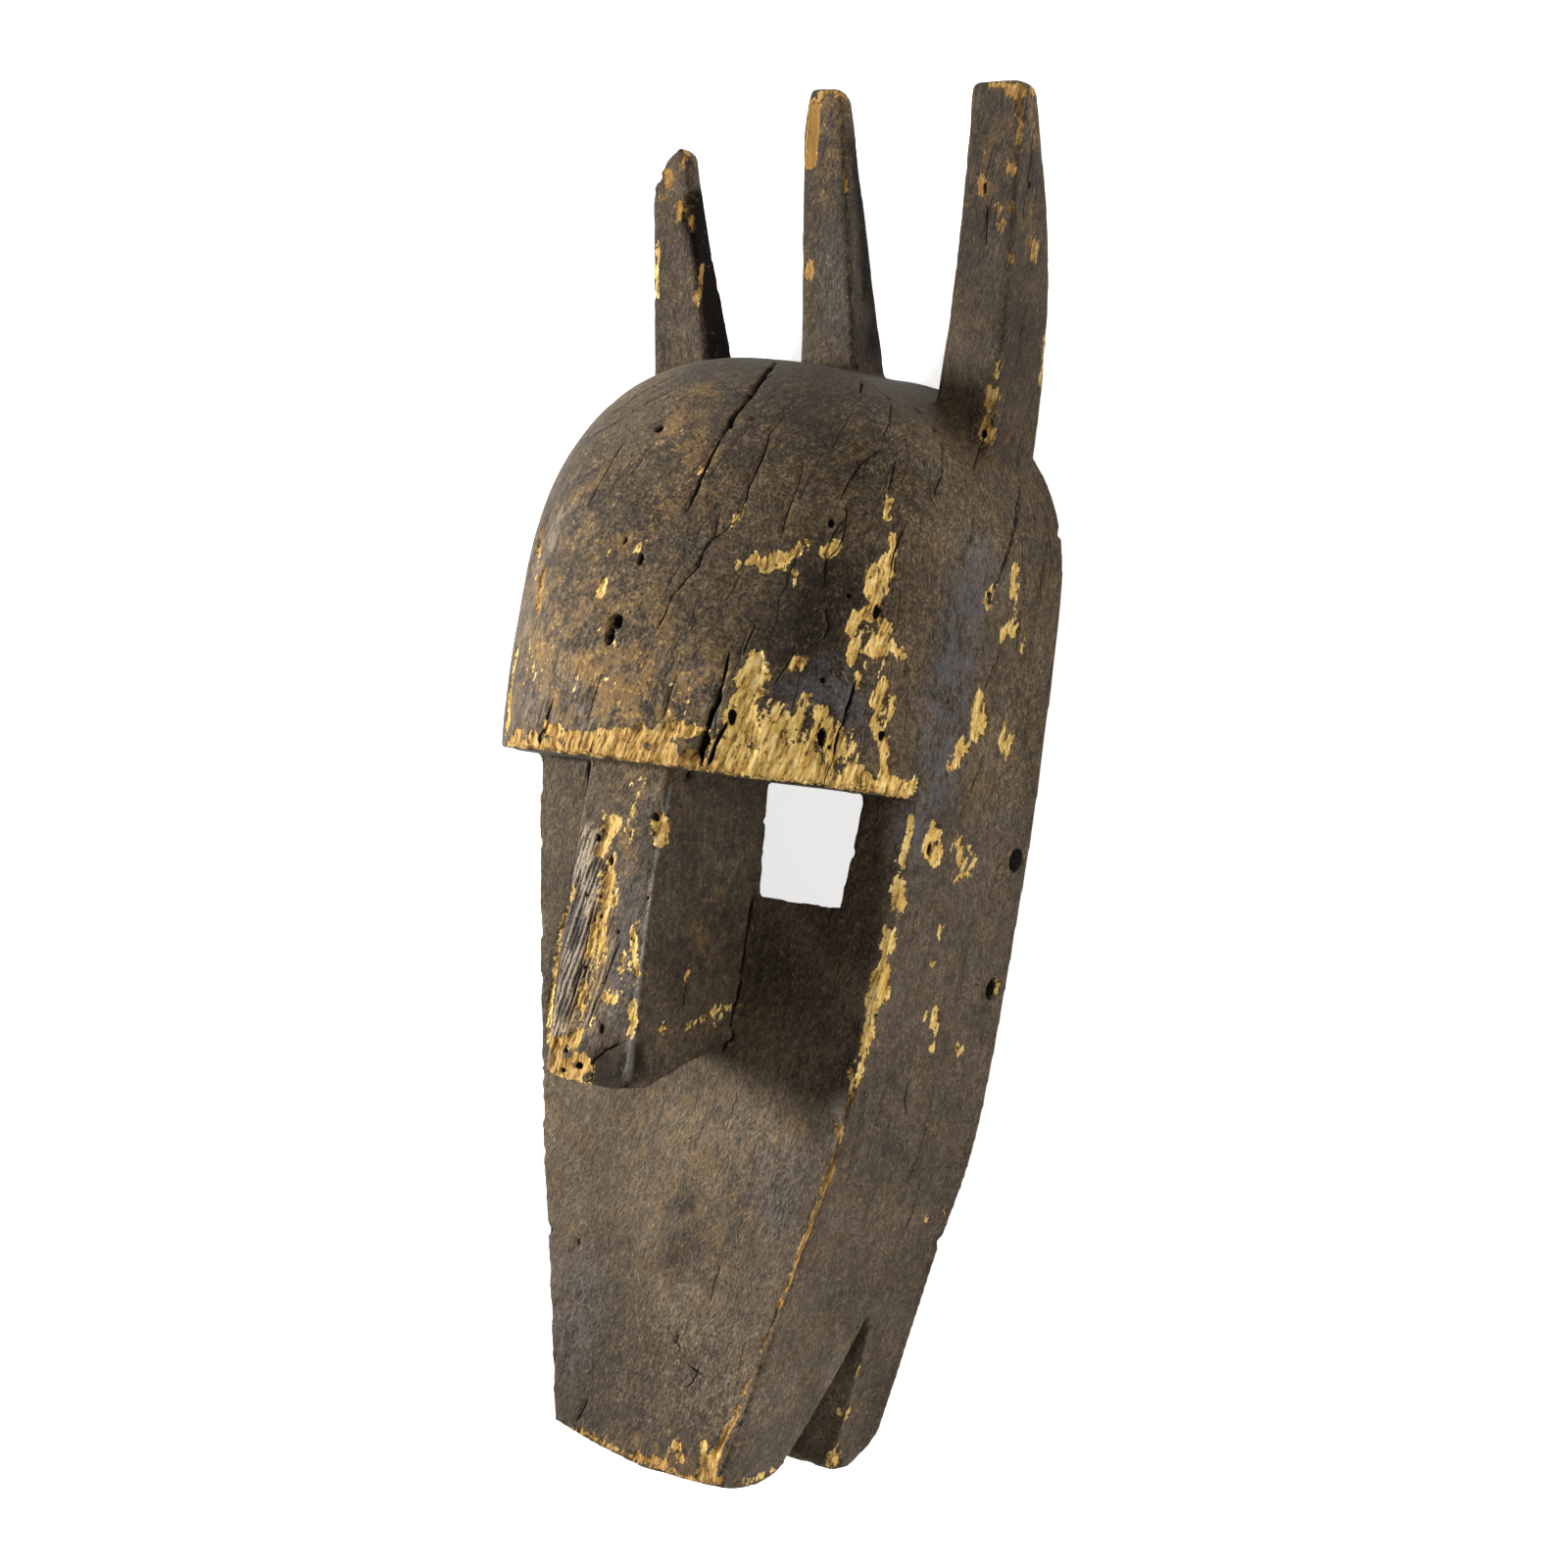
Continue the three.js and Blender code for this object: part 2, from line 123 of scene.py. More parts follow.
# Where the wood lost its patina, in photo pixels: the half width of bare wood in mm, and the line that it
# follows
BARE_WOOD = {
    "brow left": (3.8, [(519, 758), (545, 764), (580, 768), (617, 769), (650, 771), (692, 776), (716, 781)]),
    "brow left arris": (1.9, [(526, 668), (521, 692), (518, 716), (516, 745)]),
    "brow left upper": (2.4, [(556, 744), (575, 752), (617, 756), (650, 752), (680, 748), (712, 744)]),
    "brow middle": (5.2, [(730, 774), (770, 782), (810, 790), (850, 797), (885, 803), (912, 806)]),
    "brow middle upper": (4.2, [(756, 742), (775, 756), (800, 766), (830, 776)]),
    "brow peak": (4.2, [(771, 684), (765, 705), (754, 730), (742, 757)]),
    "brow second tongue": (1.7, [(823, 713), (815, 735), (806, 758)]),
    "brow third tongue": (1.7, [(838, 728), (832, 748), (826, 770)]),
    "brow round the hole": (2.6, [(845, 742), (848, 760), (846, 776)]),
    "brow fourth tongue": (1.3, [(858, 742), (853, 762), (850, 780)]),
    "brow right stripe": (2.1, [(903, 699), (898, 718), (896, 735), (900, 752), (905, 772), (903, 792)]),
    "brow right stripe branch": (0.8, [(913, 714), (908, 736)]),
    "brow right end": (1.9, [(930, 808), (934, 803)]),
    "brow stripe top": (1.2, [(874, 654), (869, 673)]),
    "brow stripe middle": (0.9, [(877, 690), (874, 702)]),
    "brow small patch": (1.9, [(813, 678), (822, 673)]),
    "dome right patch": (3.0, [(905, 577), (899, 592), (893, 606)]),
    "dome right tail": (1.1, [(915, 549), (912, 567)]),
    "dome right arch": (2.0, [(870, 641), (876, 629), (890, 624)]),
    "dome right wedge": (3.0, [(904, 642), (901, 655), (893, 664)]),
    "dome right wedge foot": (1.7, [(912, 660), (922, 668)]),
    "dome middle patch": (2.2, [(757, 577), (770, 573), (785, 575), (794, 573)]),
    "dome middle thread": (0.9, [(800, 570), (812, 562), (822, 554)]),
    "dome middle drop": (0.8, [(809, 584), (814, 593)]),
    "dome crack patch": (1.1, [(755, 519), (749, 531)]),
    "dome dash": (0.8, [(908, 512), (905, 528)]),
    "dome short patch": (1.1, [(844, 563), (854, 558)]),
    "dome left thread": (1.4, [(550, 545), (547, 562)]),
    "dome left low thread": (1.5, [(553, 584), (550, 604), (547, 622)]),
    "dome left spot": (1.3, [(613, 592), (610, 604)]),
    "dome left nail": (0.9, [(651, 553), (650, 562)]),
    "rim side stripe": (1.3, [(1038, 579), (1037, 593), (1034, 606)]),
    "rim side ring": (0.5, [(1016, 596), (1009, 605), (1006, 614), (1010, 623), (1015, 611), (1017, 598)]),
    "rim side patch": (1.9, [(1026, 645), (1036, 642)]),
    "rim side fleck": (0.6, [(1047, 653), (1044, 663)]),
    "side long patch": (2.7, [(1001, 712), (1000, 728), (996, 747), (1004, 741)]),
    "side long foot": (2.9, [(988, 760), (980, 769), (974, 783)]),
    "side small patch": (1.4, [(1026, 742), (1024, 755), (1030, 768), (1034, 752)]),
    "face edge top": (1.2, [(930, 838), (928, 857), (922, 882)]),
    "side round patch": (3.2, [(956, 850), (948, 866), (957, 873)]),
    "side ring patch": (1.7, [(980, 862), (982, 880)]),
    "side ring": (0.6, [(990, 865), (997, 878), (989, 890), (976, 897)]),
    "face edge blob": (3.2, [(917, 909), (920, 923)]),
    "face edge long": (3.1, [(906, 956), (902, 975), (897, 995)]),
    "face edge widest": (4.2, [(898, 1000), (900, 1014)]),
    "face edge lower": (2.7, [(893, 1028), (887, 1050), (881, 1075), (874, 1098)]),
    "face edge line": (0.25, [(869, 1110), (858, 1152), (848, 1192), (839, 1215), (822, 1262), (807, 1302)]),
    "face edge line low": (
        0.15,
        [(807, 1302), (797, 1322), (789, 1343), (778, 1372), (768, 1398), (757, 1424)],
    ),
    "face edge end": (0.45, [(753, 1434), (745, 1452), (737, 1467), (731, 1482)]),
    "face edge spot": (1.1, [(857, 1153), (856, 1158)]),
    "face edge low spot": (1.8, [(848, 1194), (845, 1202)]),
    "side low patch": (1.8, [(957, 1036), (954, 1050), (953, 1066)]),
    "side low fleck": (0.8, [(946, 1036), (944, 1042)]),
    "side dash": (0.7, [(960, 948), (959, 954)]),
    "side small ring": (0.9, [(952, 980), (951, 987)]),
    "side dot": (0.8, [(978, 1071), (981, 1073)]),
    "jaw side spot": (0.5, [(947, 1241), (947, 1245)]),
    "jaw side dot": (0.4, [(964, 1236), (965, 1238)]),
    "chin patch": (4.4, [(722, 1494), (722, 1503), (724, 1510)]),
    "chin patch tongue": (1.2, [(716, 1474), (718, 1488)]),
    "chin patch side": (1.3, [(690, 1474), (694, 1490)]),
    "chin edge": (0.3, [(583, 1456), (610, 1470), (637, 1484), (671, 1494), (692, 1506), (735, 1516)]),
    "chin edge middle": (1.3, [(648, 1489), (664, 1492), (682, 1500)]),
    "chin edge left side": (0.2, [(750, 1515), (772, 1511), (791, 1500)]),
    "jaw tip": (1.7, [(845, 1494), (852, 1486), (857, 1493)]),
    "jaw dots": (0.6, [(855, 1443), (856, 1444)]),
    "jaw dots right": (0.7, [(867, 1442), (867, 1445)]),
    "jaw dots upper": (0.6, [(878, 1397), (874, 1405)]),
    "nose bridge": (2.5, [(623, 838), (619, 852), (612, 870)]),
    "nose bridge left": (2.5, [(673, 840), (678, 853)]),
    "nose streak": (1.7, [(624, 880), (620, 905), (616, 935), (611, 965)]),
    "nose patch middle": (1.2, [(606, 948), (601, 972)]),
    "nose patch low": (1.0, [(596, 1000), (590, 1024)]),
    "nose patch right": (0.8, [(634, 975), (632, 1000)]),
    "nose spot": (1.0, [(627, 916), (626, 922)]),
    "nose arris spots": (0.9, [(644, 950), (647, 970), (649, 994)]),
    "nose low patch": (1.5, [(617, 1017), (623, 1021)]),
    "nose low stripe": (1.2, [(646, 1026), (643, 1052)]),
    "nose right edge": (0.5, [(583, 905), (572, 955), (562, 1015), (559, 1060)]),
    "nose tip": (4.4, [(564, 1086), (578, 1091), (592, 1088)]),
    "nose tip upper": (3.0, [(566, 1066), (582, 1060)]),
    "nose side flecks": (0.7, [(704, 993), (703, 998)]),
    "nose side low fleck": (0.8, [(679, 1047), (676, 1052)]),
    "nose scratch": (0.35, [(706, 1043), (722, 1037), (737, 1031), (755, 1025)]),
    "right horn tip": (1.0, [(702, 154), (697, 166)]),
    "right horn front": (1.6, [(680, 178), (679, 191)]),
    "right horn low front": (0.7, [(673, 203), (679, 202)]),
    "right horn spot": (1.3, [(691, 210), (694, 216)]),
    "right horn side": (1.2, [(706, 220), (707, 227)]),
    "right horn side low": (1.3, [(717, 274), (717, 282)]),
    "right horn arris": (1.0, [(710, 301), (711, 310)]),
    "right horn edge": (0.6, [(670, 246), (669, 270), (669, 302)]),
    "middle horn stripe": (0.9, [(864, 180), (863, 199)]),
    "middle horn edge spot": (1.5, [(824, 270), (825, 279)]),
    "middle horn tip": (0.9, [(836, 95), (850, 91), (866, 98)]),
    "left horn end": (0.9, [(1010, 86), (1040, 86), (1055, 92)]),
    "left horn end patch": (2.4, [(1028, 93), (1046, 95)]),
    "left horn arris": (0.9, [(1042, 100), (1041, 120), (1040, 144)]),
    "left horn arris spot": (1.3, [(1028, 170), (1035, 174)]),
    "left horn knot": (1.3, [(1002, 186), (1004, 195)]),
    "left horn dots": (0.8, [(1018, 210), (1019, 213)]),
    "left horn dots right": (0.8, [(1031, 210), (1031, 215)]),
    "left horn ring": (1.0, [(1022, 226), (1020, 233)]),
    "left horn side": (1.4, [(1055, 246), (1055, 259)]),
    "left horn low dots": (0.7, [(1032, 262), (1033, 268)]),
    "left horn edge": (1.5, [(1069, 345), (1067, 365), (1064, 389)]),
    "left horn foot": (0.7, [(1018, 370), (1017, 382)]),
    "left horn corner": (1.9, [(1012, 402), (1010, 414)]),
    "left horn root": (1.9, [(1006, 434), (1010, 444)]),
}

# A flake split off cleanly: no fibres or pits in it
SPLIT_WOOD = {
    "middle horn flake": (2.6, [(830, 108), (829, 128), (827, 148), (826, 160)]),
    "middle horn flake foot": (3.0, [(826, 160), (825, 164)]),
}

# Where bare wood and patina are mixed, in photo pixels: reach in mm, the share of bare wood, and a line
BROKEN_PATINA = {
    "brow between tongues": (7, 0.62, [(772, 742), (800, 738), (830, 752), (865, 768)]),
    "brow middle foot": (4, 0.75, [(740, 776), (800, 786), (870, 799), (920, 806)]),
    "brow left": (15, 0.20, [(545, 690), (600, 700), (660, 712), (700, 722)]),
    "brow left middle": (13, 0.17, [(556, 640), (600, 640), (650, 665)]),
    "dome left": (12, 0.13, [(570, 580), (620, 560), (665, 540)]),
    "dome left upper": (9, 0.14, [(680, 425), (695, 455), (712, 485)]),
    "dome edge": (5, 0.32, [(549, 560), (546, 610), (536, 690)]),
    "dome top": (7, 0.08, [(740, 480), (800, 500), (830, 540)]),
    "dome right flecks": (14, 0.09, [(905, 420), (960, 440), (1000, 450)]),
    "nose front": (8, 0.42, [(650, 800), (640, 850), (622, 900), (610, 960), (598, 1030)]),
    "nose bridge": (6, 0.42, [(622, 832), (618, 862)]),
    "nose bridge left": (5, 0.35, [(668, 838), (682, 852)]),
    "nose arris": (3, 0.28, [(652, 940), (648, 1000), (640, 1050)]),
    "nose foot": (8, 0.10, [(710, 1020), (750, 1030), (690, 1060)]),
    "face edge": (5, 0.3, [(928, 840), (915, 900), (905, 960), (885, 1060), (870, 1110)]),
    "face line": (1.5, 0.2, [(868, 1112), (848, 1192), (820, 1265), (790, 1340), (757, 1424), (735, 1470)]),
    "right horn": (6, 0.12, [(690, 160), (682, 190), (690, 215)]),
    "left horn": (6, 0.1, [(1030, 95), (1035, 140), (1010, 190), (1030, 230)]),
    "left horn corner": (5, 0.25, [(1012, 400), (1008, 440)]),
    "middle horn": (5, 0.14, [(845, 110), (850, 190)]),
    "chin": (5, 0.04, [(600, 1462), (680, 1492), (740, 1508)]),
    "side": (10, 0.1, [(1000, 720), (1030, 760), (960, 860), (985, 880)]),
    "rim": (4, 0.2, [(1040, 590), (1034, 650)]),
}

# Open cracks, in photo pixels: half width and depth in mm
CRACKS = {
    "dome main upper": (1.2, 5.0, [(791, 368), (772, 393), (761, 407), (744, 429), (736, 444)]),
    "dome main lower": (0.55, 3.0, [(740, 437), (727, 461), (719, 478), (708, 503), (700, 520)]),
    "dome second": (
        0.26,
        1.4,
        [(798, 426), (784, 442), (781, 459), (772, 478), (764, 495), (760, 510), (753, 526)],
    ),
    "brow main top": (0.5, 2.5, [(744, 664), (741, 680), (737, 700), (729, 719)]),
    "brow main": (1.1, 5.0, [(735, 706), (727, 727), (720, 746), (714, 762)]),
    "brow main foot": (1.9, 7.0, [(721, 743), (715, 758), (709, 774), (703, 796)]),
    "brow main fork": (0.6, 3.0, [(742, 735), (735, 750), (727, 766), (720, 782)]),
    "brow left": (0.6, 2.5, [(564, 713), (556, 736), (545, 762)]),
    "brow right": (0.5, 2.4, [(876, 692), (865, 724), (858, 748), (851, 778)]),
    "nose junction": (0.38, 1.8, [(769, 912), (763, 945), (759, 976), (753, 1018), (744, 1040)]),
    "nose junction middle": (0.32, 1.6, [(757, 1000), (751, 1025), (746, 1045), (748, 1057)]),
    "nose junction low": (0.4, 1.8, [(748, 1050), (747, 1060), (741, 1066), (735, 1073)]),
    "nose side": (0.28, 1.6, [(702, 998), (699, 1024), (690, 1036)]),
    "nose tip step": (0.3, 1.6, [(634, 1063), (618, 1071), (605, 1083), (602, 1104)]),
    "nose fibre left": (0.3, 1.2, [(604, 930), (597, 965), (588, 1000), (580, 1035)]),
    "chin thin": (0.16, 0.9, [(600, 1427), (595, 1438), (588, 1451)]),
    "chin short": (0.2, 0.9, [(700, 1391), (708, 1399), (717, 1404)]),
    "chin short lower": (0.24, 1.0, [(712, 1397), (706, 1409), (697, 1417)]),
    "chin short upper": (0.14, 0.7, [(692, 1361), (688, 1370), (694, 1377)]),
    "face scratch": (0.12, 0.5, [(735, 1290), (728, 1312), (724, 1330)]),
    "crown middle": (0.4, 2.0, [(873, 372), (881, 384), (879, 400)]),
}

# Thin cracks, in photo pixels, and the half width and depth in mm that they share
THIN_CRACK = (0.22, 0.75)
THIN_CRACKS = {
    "dome second lower": [(753, 526), (740, 541), (721, 554), (713, 577), (700, 590), (686, 608)],
    "dome second end": [(700, 590), (686, 608), (677, 630), (671, 641)],
    "dome right": [(901, 454), (875, 476), (865, 494), (856, 511)],
    "dome right lower": [(865, 510), (862, 543), (856, 558), (842, 571), (841, 594)],
    "dome far right": [(963, 446), (963, 482), (954, 511)],
    "dome above patch": [(924, 535), (913, 569), (909, 590)],
    "dome thin right": [(915, 467), (907, 501)],
    "dome foot of horn": [(1004, 444), (999, 462), (995, 480)],
    "side upper": [(996, 526), (993, 540), (991, 556)],
    "side long": [(1044, 488), (1036, 541), (1026, 573), (1020, 585)],
    "rim long": [(1072, 550), (1064, 588), (1062, 624)],
    "side from brow": [(1045, 506), (1038, 540), (1030, 566), (1018, 596), (1009, 625)],
    "side lower hair": [(1022, 655), (1019, 676), (1011, 690), (1005, 704)],
    "dome low hair": [(868, 726), (862, 738), (855, 755)],
    "dome bend": [(863, 525), (850, 545), (842, 566), (842, 599)],
    "brow small": [(811, 664), (800, 683), (790, 699)],
    "brow upper": [(770, 637), (764, 651), (758, 668)],
    "dome left long": [(595, 448), (622, 433), (650, 416), (686, 397)],
    "dome left upper": [(620, 425), (650, 402), (690, 381)],
    "dome left thin": [(599, 514), (610, 492), (622, 470), (635, 450)],
    "nose fibre right": [(632, 960), (622, 985), (613, 1010), (602, 1036)],
    "side below brow": [(1006, 768), (996, 795), (983, 830), (979, 846)],
    "side low": [(928, 1100), (924, 1124), (926, 1140)],
    "horn thin": [(1007, 207), (1007, 228), (1005, 252)],
}
THINNEST_CRACK = (0.18, 0.65)
THINNEST_CRACKS = {
    "dome centre hair": [(843, 618), (846, 640), (838, 655)],
    "dome crown hair": [(905, 400), (911, 412), (908, 430), (900, 446)],
    "dome long hair": [(820, 475), (812, 500), (800, 530), (797, 548)],
    "dome side hair": [(735, 520), (728, 545), (716, 566), (706, 582)],
    "brow hair": [(690, 690), (682, 712), (676, 735)],
    "brow hair left": [(612, 690), (606, 712), (598, 735)],
}

# Pits, knots and insect holes, in photo pixels: half width, half length along the grain and depth in mm
HOLES = {
    "dome big hole": (2.6, 2.5, 6.0, (627, 633)),
    "dome big hole tail": (1.5, 3.4, 4.5, (621, 648)),
    "dome nail hole": (1.2, 1.9, 4.0, (652, 569)),
    "dome left pit": (1.8, 1.6, 3.0, (672, 436)),
    "dome left worm": (0.9, 1.2, 2.5, (636, 550)),
    "crown slot": (0.8, 2.0, 3.0, (937, 417)),
    "crown worm": (0.9, 1.1, 2.5, (954, 437)),
    "horn root pit": (1.1, 1.8, 3.0, (1003, 443)),
    "dome worm right": (1.1, 1.5, 3.0, (848, 533)),
    "dome worm low": (0.8, 0.8, 2.5, (867, 608)),
    "arch hole": (1.4, 2.6, 4.0, (897, 624)),
    "brow hole": (1.5, 3.0, 5.0, (840, 752)),
    "brow worm": (0.8, 0.9, 3.0, (848, 763)),
    "brow crack pit": (1.4, 2.6, 4.0, (746, 731)),
    "brow right pit": (1.3, 1.6, 3.5, (902, 752)),
    "brow side slot": (0.8, 1.8, 3.0, (926, 682)),
    "side worm": (0.8, 1.0, 3.0, (969, 716)),
    "dome grey worm": (0.9, 0.9, 2.5, (840, 694)),
    "ring hole": (1.0, 2.2, 2.5, (1011, 610)),
    "side patch hollow": (1.3, 3.0, 1.6, (954, 868)),
    "edge worm": (0.8, 0.9, 2.5, (902, 989)),
    "edge worm low": (0.6, 0.6, 2.0, (883, 1116)),
    "jaw worm": (0.7, 0.9, 3.0, (877, 1356)),
    "chin worm": (0.6, 1.2, 2.5, (589, 1267)),
    "nose bridge worm": (1.1, 1.2, 3.0, (610, 855)),
    "nose bridge pit": (0.9, 1.6, 2.5, (623, 878)),
    "nose bridge knot": (1.2, 1.4, 2.0, (667, 834)),
    "nose worm": (0.7, 0.8, 2.5, (598, 913)),
    "nose worm middle": (0.6, 0.7, 2.5, (612, 915)),
    "nose worm low": (0.7, 0.8, 2.5, (611, 935)),
    "nose worm left": (0.6, 0.7, 2.5, (596, 987)),
    "nose worm right": (0.6, 0.7, 2.5, (660, 916)),
    "nose low worm": (0.6, 0.7, 2.5, (630, 951)),
    "nose tip pit": (1.7, 1.3, 2.4, (586, 1087)),
    "nose tip pit right": (1.1, 0.9, 1.8, (570, 1092)),
    "nose tip pit upper": (0.9, 0.9, 1.6, (576, 1072)),
    "nose under pit": (1.0, 1.6, 1.5, (613, 1050)),
    "right horn slot": (0.7, 1.9, 2.5, (696, 221)),
    "left horn slot": (0.7, 2.0, 2.0, (1004, 192)),
    "left horn worm": (0.8, 1.1, 2.0, (1052, 189)),
}

# Nicks in the edges, in photo pixels: the radius in mm of the bite
NICKS = {
    "rim low": (2.2, (957, 1268)),
    "rim lower": (1.6, (947, 1293)),
    "rim lowest": (1.5, (922, 1372)),
    "right face edge": (1.8, (552, 1097)),
    "right face edge upper": (1.2, (551, 1085)),
    "right face edge low": (1.8, (558, 1254)),
    "right horn shoulder": (1.8, (671, 183)),
    "brow corner": (1.6, (936, 816)),
    "eye hole inner": (1.6, (783, 861)),
    "eye hole inner upper": (1.3, (782, 838)),
    "eye hole inner low": (1.4, (784, 884)),
    "eye hole sill": (1.3, (803, 915)),
    "eye hole sill middle": (1.2, (826, 921)),
    "eye hole sill outer": (1.4, (848, 925)),
    "eye hole outer": (1.2, (867, 870)),
    "crown edge": (1.4, (1082, 545)),
}

# The torn rim of the left eye hole, in photo pixels, just outside the opening
EYE_HOLE_RIM = [(781, 838), (779, 880), (781, 912), (826, 924), (862, 929), (872, 880), (879, 818)]

# Broad changes of the patina, and in some rows painted shade and light, in photo pixels: reach in mm,
# strength, and the line that each follows
THIN_PATINA = {
    "brow left": (17, 1.0, [(545, 690), (600, 690), (660, 705), (700, 715)]),
    "dome left high": (10, 0.45, [(600, 480), (585, 540)]),
    "brow left upper": (13, 0.75, [(560, 620), (610, 610), (650, 640)]),
    "dome left": (9, 0.7, [(680, 425), (700, 455), (720, 480)]),
    "dome left low": (8, 0.6, [(675, 515), (610, 560)]),
    "crown": (7, 0.6, [(715, 392), (750, 398)]),
    "dome middle": (6, 0.35, [(805, 500), (820, 530)]),
    "dome edge": (4, 0.7, [(548, 560), (545, 640), (530, 720)]),
    "nose front": (9, 0.75, [(650, 800), (640, 840), (630, 880)]),
    "nose front low": (6, 0.7, [(620, 920), (605, 980), (590, 1040)]),
    "nose side": (9, 0.3, [(720, 960), (740, 900)]),
    "left horn top": (6, 0.8, [(1052, 100), (1052, 140)]),
    "left horn side": (8, 0.35, [(1010, 150), (1000, 200)]),
    "left horn low": (8, 0.35, [(1050, 200), (1055, 260)]),
    "right horn top": (6, 0.7, [(700, 160), (690, 205)]),
    "middle horn": (7, 0.5, [(850, 105), (845, 150), (850, 190)]),
    "crown left": (7, 0.4, [(1008, 425), (1000, 450)]),
    "face middle": (22, 0.28, [(690, 1160), (720, 1220), (760, 1180)]),
    "chin": (8, 0.35, [(640, 1480), (720, 1490), (760, 1465)]),
}
BLUE_GREY = {
    "side upper": (14, 0.9, [(1000, 585), (985, 640), (970, 700), (962, 780)]),
    "side below brow": (9, 0.8, [(955, 810), (930, 870)]),
    "brow grey": (8, 0.8, [(810, 715), (850, 700), (880, 740)]),
    "brow left corner": (5, 0.9, [(535, 712), (550, 725)]),
    "brow left middle": (6, 0.9, [(584, 705), (600, 735)]),
    "brow left of crack": (5, 0.7, [(706, 690), (718, 722)]),
    "nose right": (8, 0.9, [(592, 905), (582, 960), (575, 1010)]),
    "nose middle": (6, 0.7, [(640, 880), (636, 960), (630, 1030)]),
    "face lower right": (12, 0.5, [(575, 1370), (590, 1300)]),
    "face left": (10, 0.5, [(800, 1190), (790, 1230)]),
    "middle horn": (8, 0.35, [(850, 250), (850, 330)]),
}
DARK = {
    "dome top": (22, 0.45, [(730, 385), (800, 385), (880, 400)]),
    "dome middle": (24, 0.35, [(790, 450), (880, 470), (930, 500)]),
    "right horn": (16, 0.45, [(690, 180), (690, 260), (690, 350)]),
    # Painted shade: the right horn's side that faces away from the light, darkened to near black
    "right horn side": (8, 2.2, [(715, 215), (725, 270), (737, 360)]),
    "middle horn": (16, 0.25, [(845, 130), (850, 240), (860, 340)]),
    # Painted shade: the middle horn's side that faces away from the light
    "middle horn side": (5, 1.2, [(872, 150), (884, 250), (892, 360)]),
    "left horn": (24, 0.5, [(1020, 120), (1020, 250), (1010, 400)]),
    # Painted shade: the left horn's side towards the middle horn
    "left horn side": (7, 0.5, [(985, 230), (975, 300), (962, 380)]),
    "chin": (12, 0.45, [(600, 1450), (680, 1475), (740, 1480)]),
    "dome right": (17, 0.9, [(845, 640), (850, 600)]),
    "face blotch": (5, 0.8, [(704, 1226), (700, 1232)]),
    "face blotch low": (7, 0.9, [(695, 1272), (690, 1282)]),
    "nose lobe": (9, 1.15, [(612, 1092), (632, 1090), (650, 1085)]),
    # Painted shade: the side of the nose, in the nose's own shadow
    "nose side": (16, 0.55, [(690, 880), (690, 960)]),
    # Painted shade along the nose's lower edge, above the lit face
    "nose foot": (5, 0.6, [(640, 1106), (680, 1090), (715, 1076), (735, 1068)]),
    "horn joint": (6, 0.5, [(1010, 455), (1040, 465)]),
    # Painted shade round the eye hole, in the shadow of the nose and brow
    "eye surround": (12, 0.5, [(900, 870), (880, 940)]),
}
PALE = {
    "face": (45, 0.5, [(640, 1160), (700, 1200), (720, 1300)]),
    "face upper": (32, 0.95, [(600, 1150), (680, 1160), (760, 1150)]),
    "face rough": (18, 0.5, [(700, 1390), (740, 1420)]),
    "right horn front": (10, 0.35, [(690, 260), (700, 340)]),
    "dome": (28, 0.25, [(900, 420), (960, 500), (1020, 520)]),
    "side": (34, 0.4, [(1040, 640), (1020, 900), (950, 1150), (915, 1290)]),
    # Painted light: the face's edge where it turns to the light
    "face edge": (4, 1.1, [(920, 900), (900, 1000), (880, 1090)]),
    # Painted light inside the mouth's gap
    "mouth": (8, 1.2, [(862, 1385), (845, 1430), (832, 1470)]),
}
FIBROUS = {
    "nose front": (7, 1.0, [(608, 890), (600, 920), (588, 990), (577, 1050)]),
    "nose right": (6, 1.0, [(598, 860), (588, 940), (572, 1010), (564, 1060)]),
    "nose middle": (4, 0.8, [(622, 920), (612, 980), (600, 1040)]),
    "brow left": (17, 0.3, [(545, 700), (600, 705), (660, 715), (700, 725)]),
    "dome left edge": (7, 0.3, [(580, 500), (552, 580), (540, 650), (528, 720)]),
}
# Polish of handling on arrises: less rough, and lighter in colour as a painted highlight
POLISH_AND_HIGHLIGHT = {
    "nose arris": (0.8, 1.0, [(684, 807), (668, 880), (656, 960), (648, 1040)]),
    "nose lobe": (1.3, 0.9, [(645, 1050), (643, 1080), (640, 1100)]),
    "face arris": (0.6, 0.9, [(862, 1125), (850, 1175)]),
}
DULL = {
    "brow left": (10, 0.65, [(519, 758), (580, 768), (650, 771), (700, 778)]),
    "brow left upper": (10, 0.4, [(545, 748), (620, 754), (690, 745)]),
    "dome left": (9, 0.7, [(550, 545), (548, 620), (525, 700)]),
    "nose": (11, 0.4, [(650, 800), (625, 880), (600, 980), (575, 1040)]),
    "nose tip": (8, 0.7, [(560, 1085), (592, 1090)]),
    "face line": (4, 1.0, [(862, 1120), (848, 1192), (822, 1262), (797, 1322), (768, 1398), (736, 1475)]),
    "chin": (8, 0.85, [(583, 1456), (637, 1484), (692, 1506), (750, 1515)]),
    "right horn": (15, 1.0, [(702, 154), (680, 190), (700, 220), (712, 300)]),
    "middle horn": (9, 0.9, [(850, 95), (864, 190), (825, 275)]),
    "left horn": (15, 1.0, [(1005, 120), (1045, 130), (1030, 170), (1010, 200), (1035, 250)]),
    "left horn low": (9, 0.5, [(1010, 400), (1008, 440)]),
}
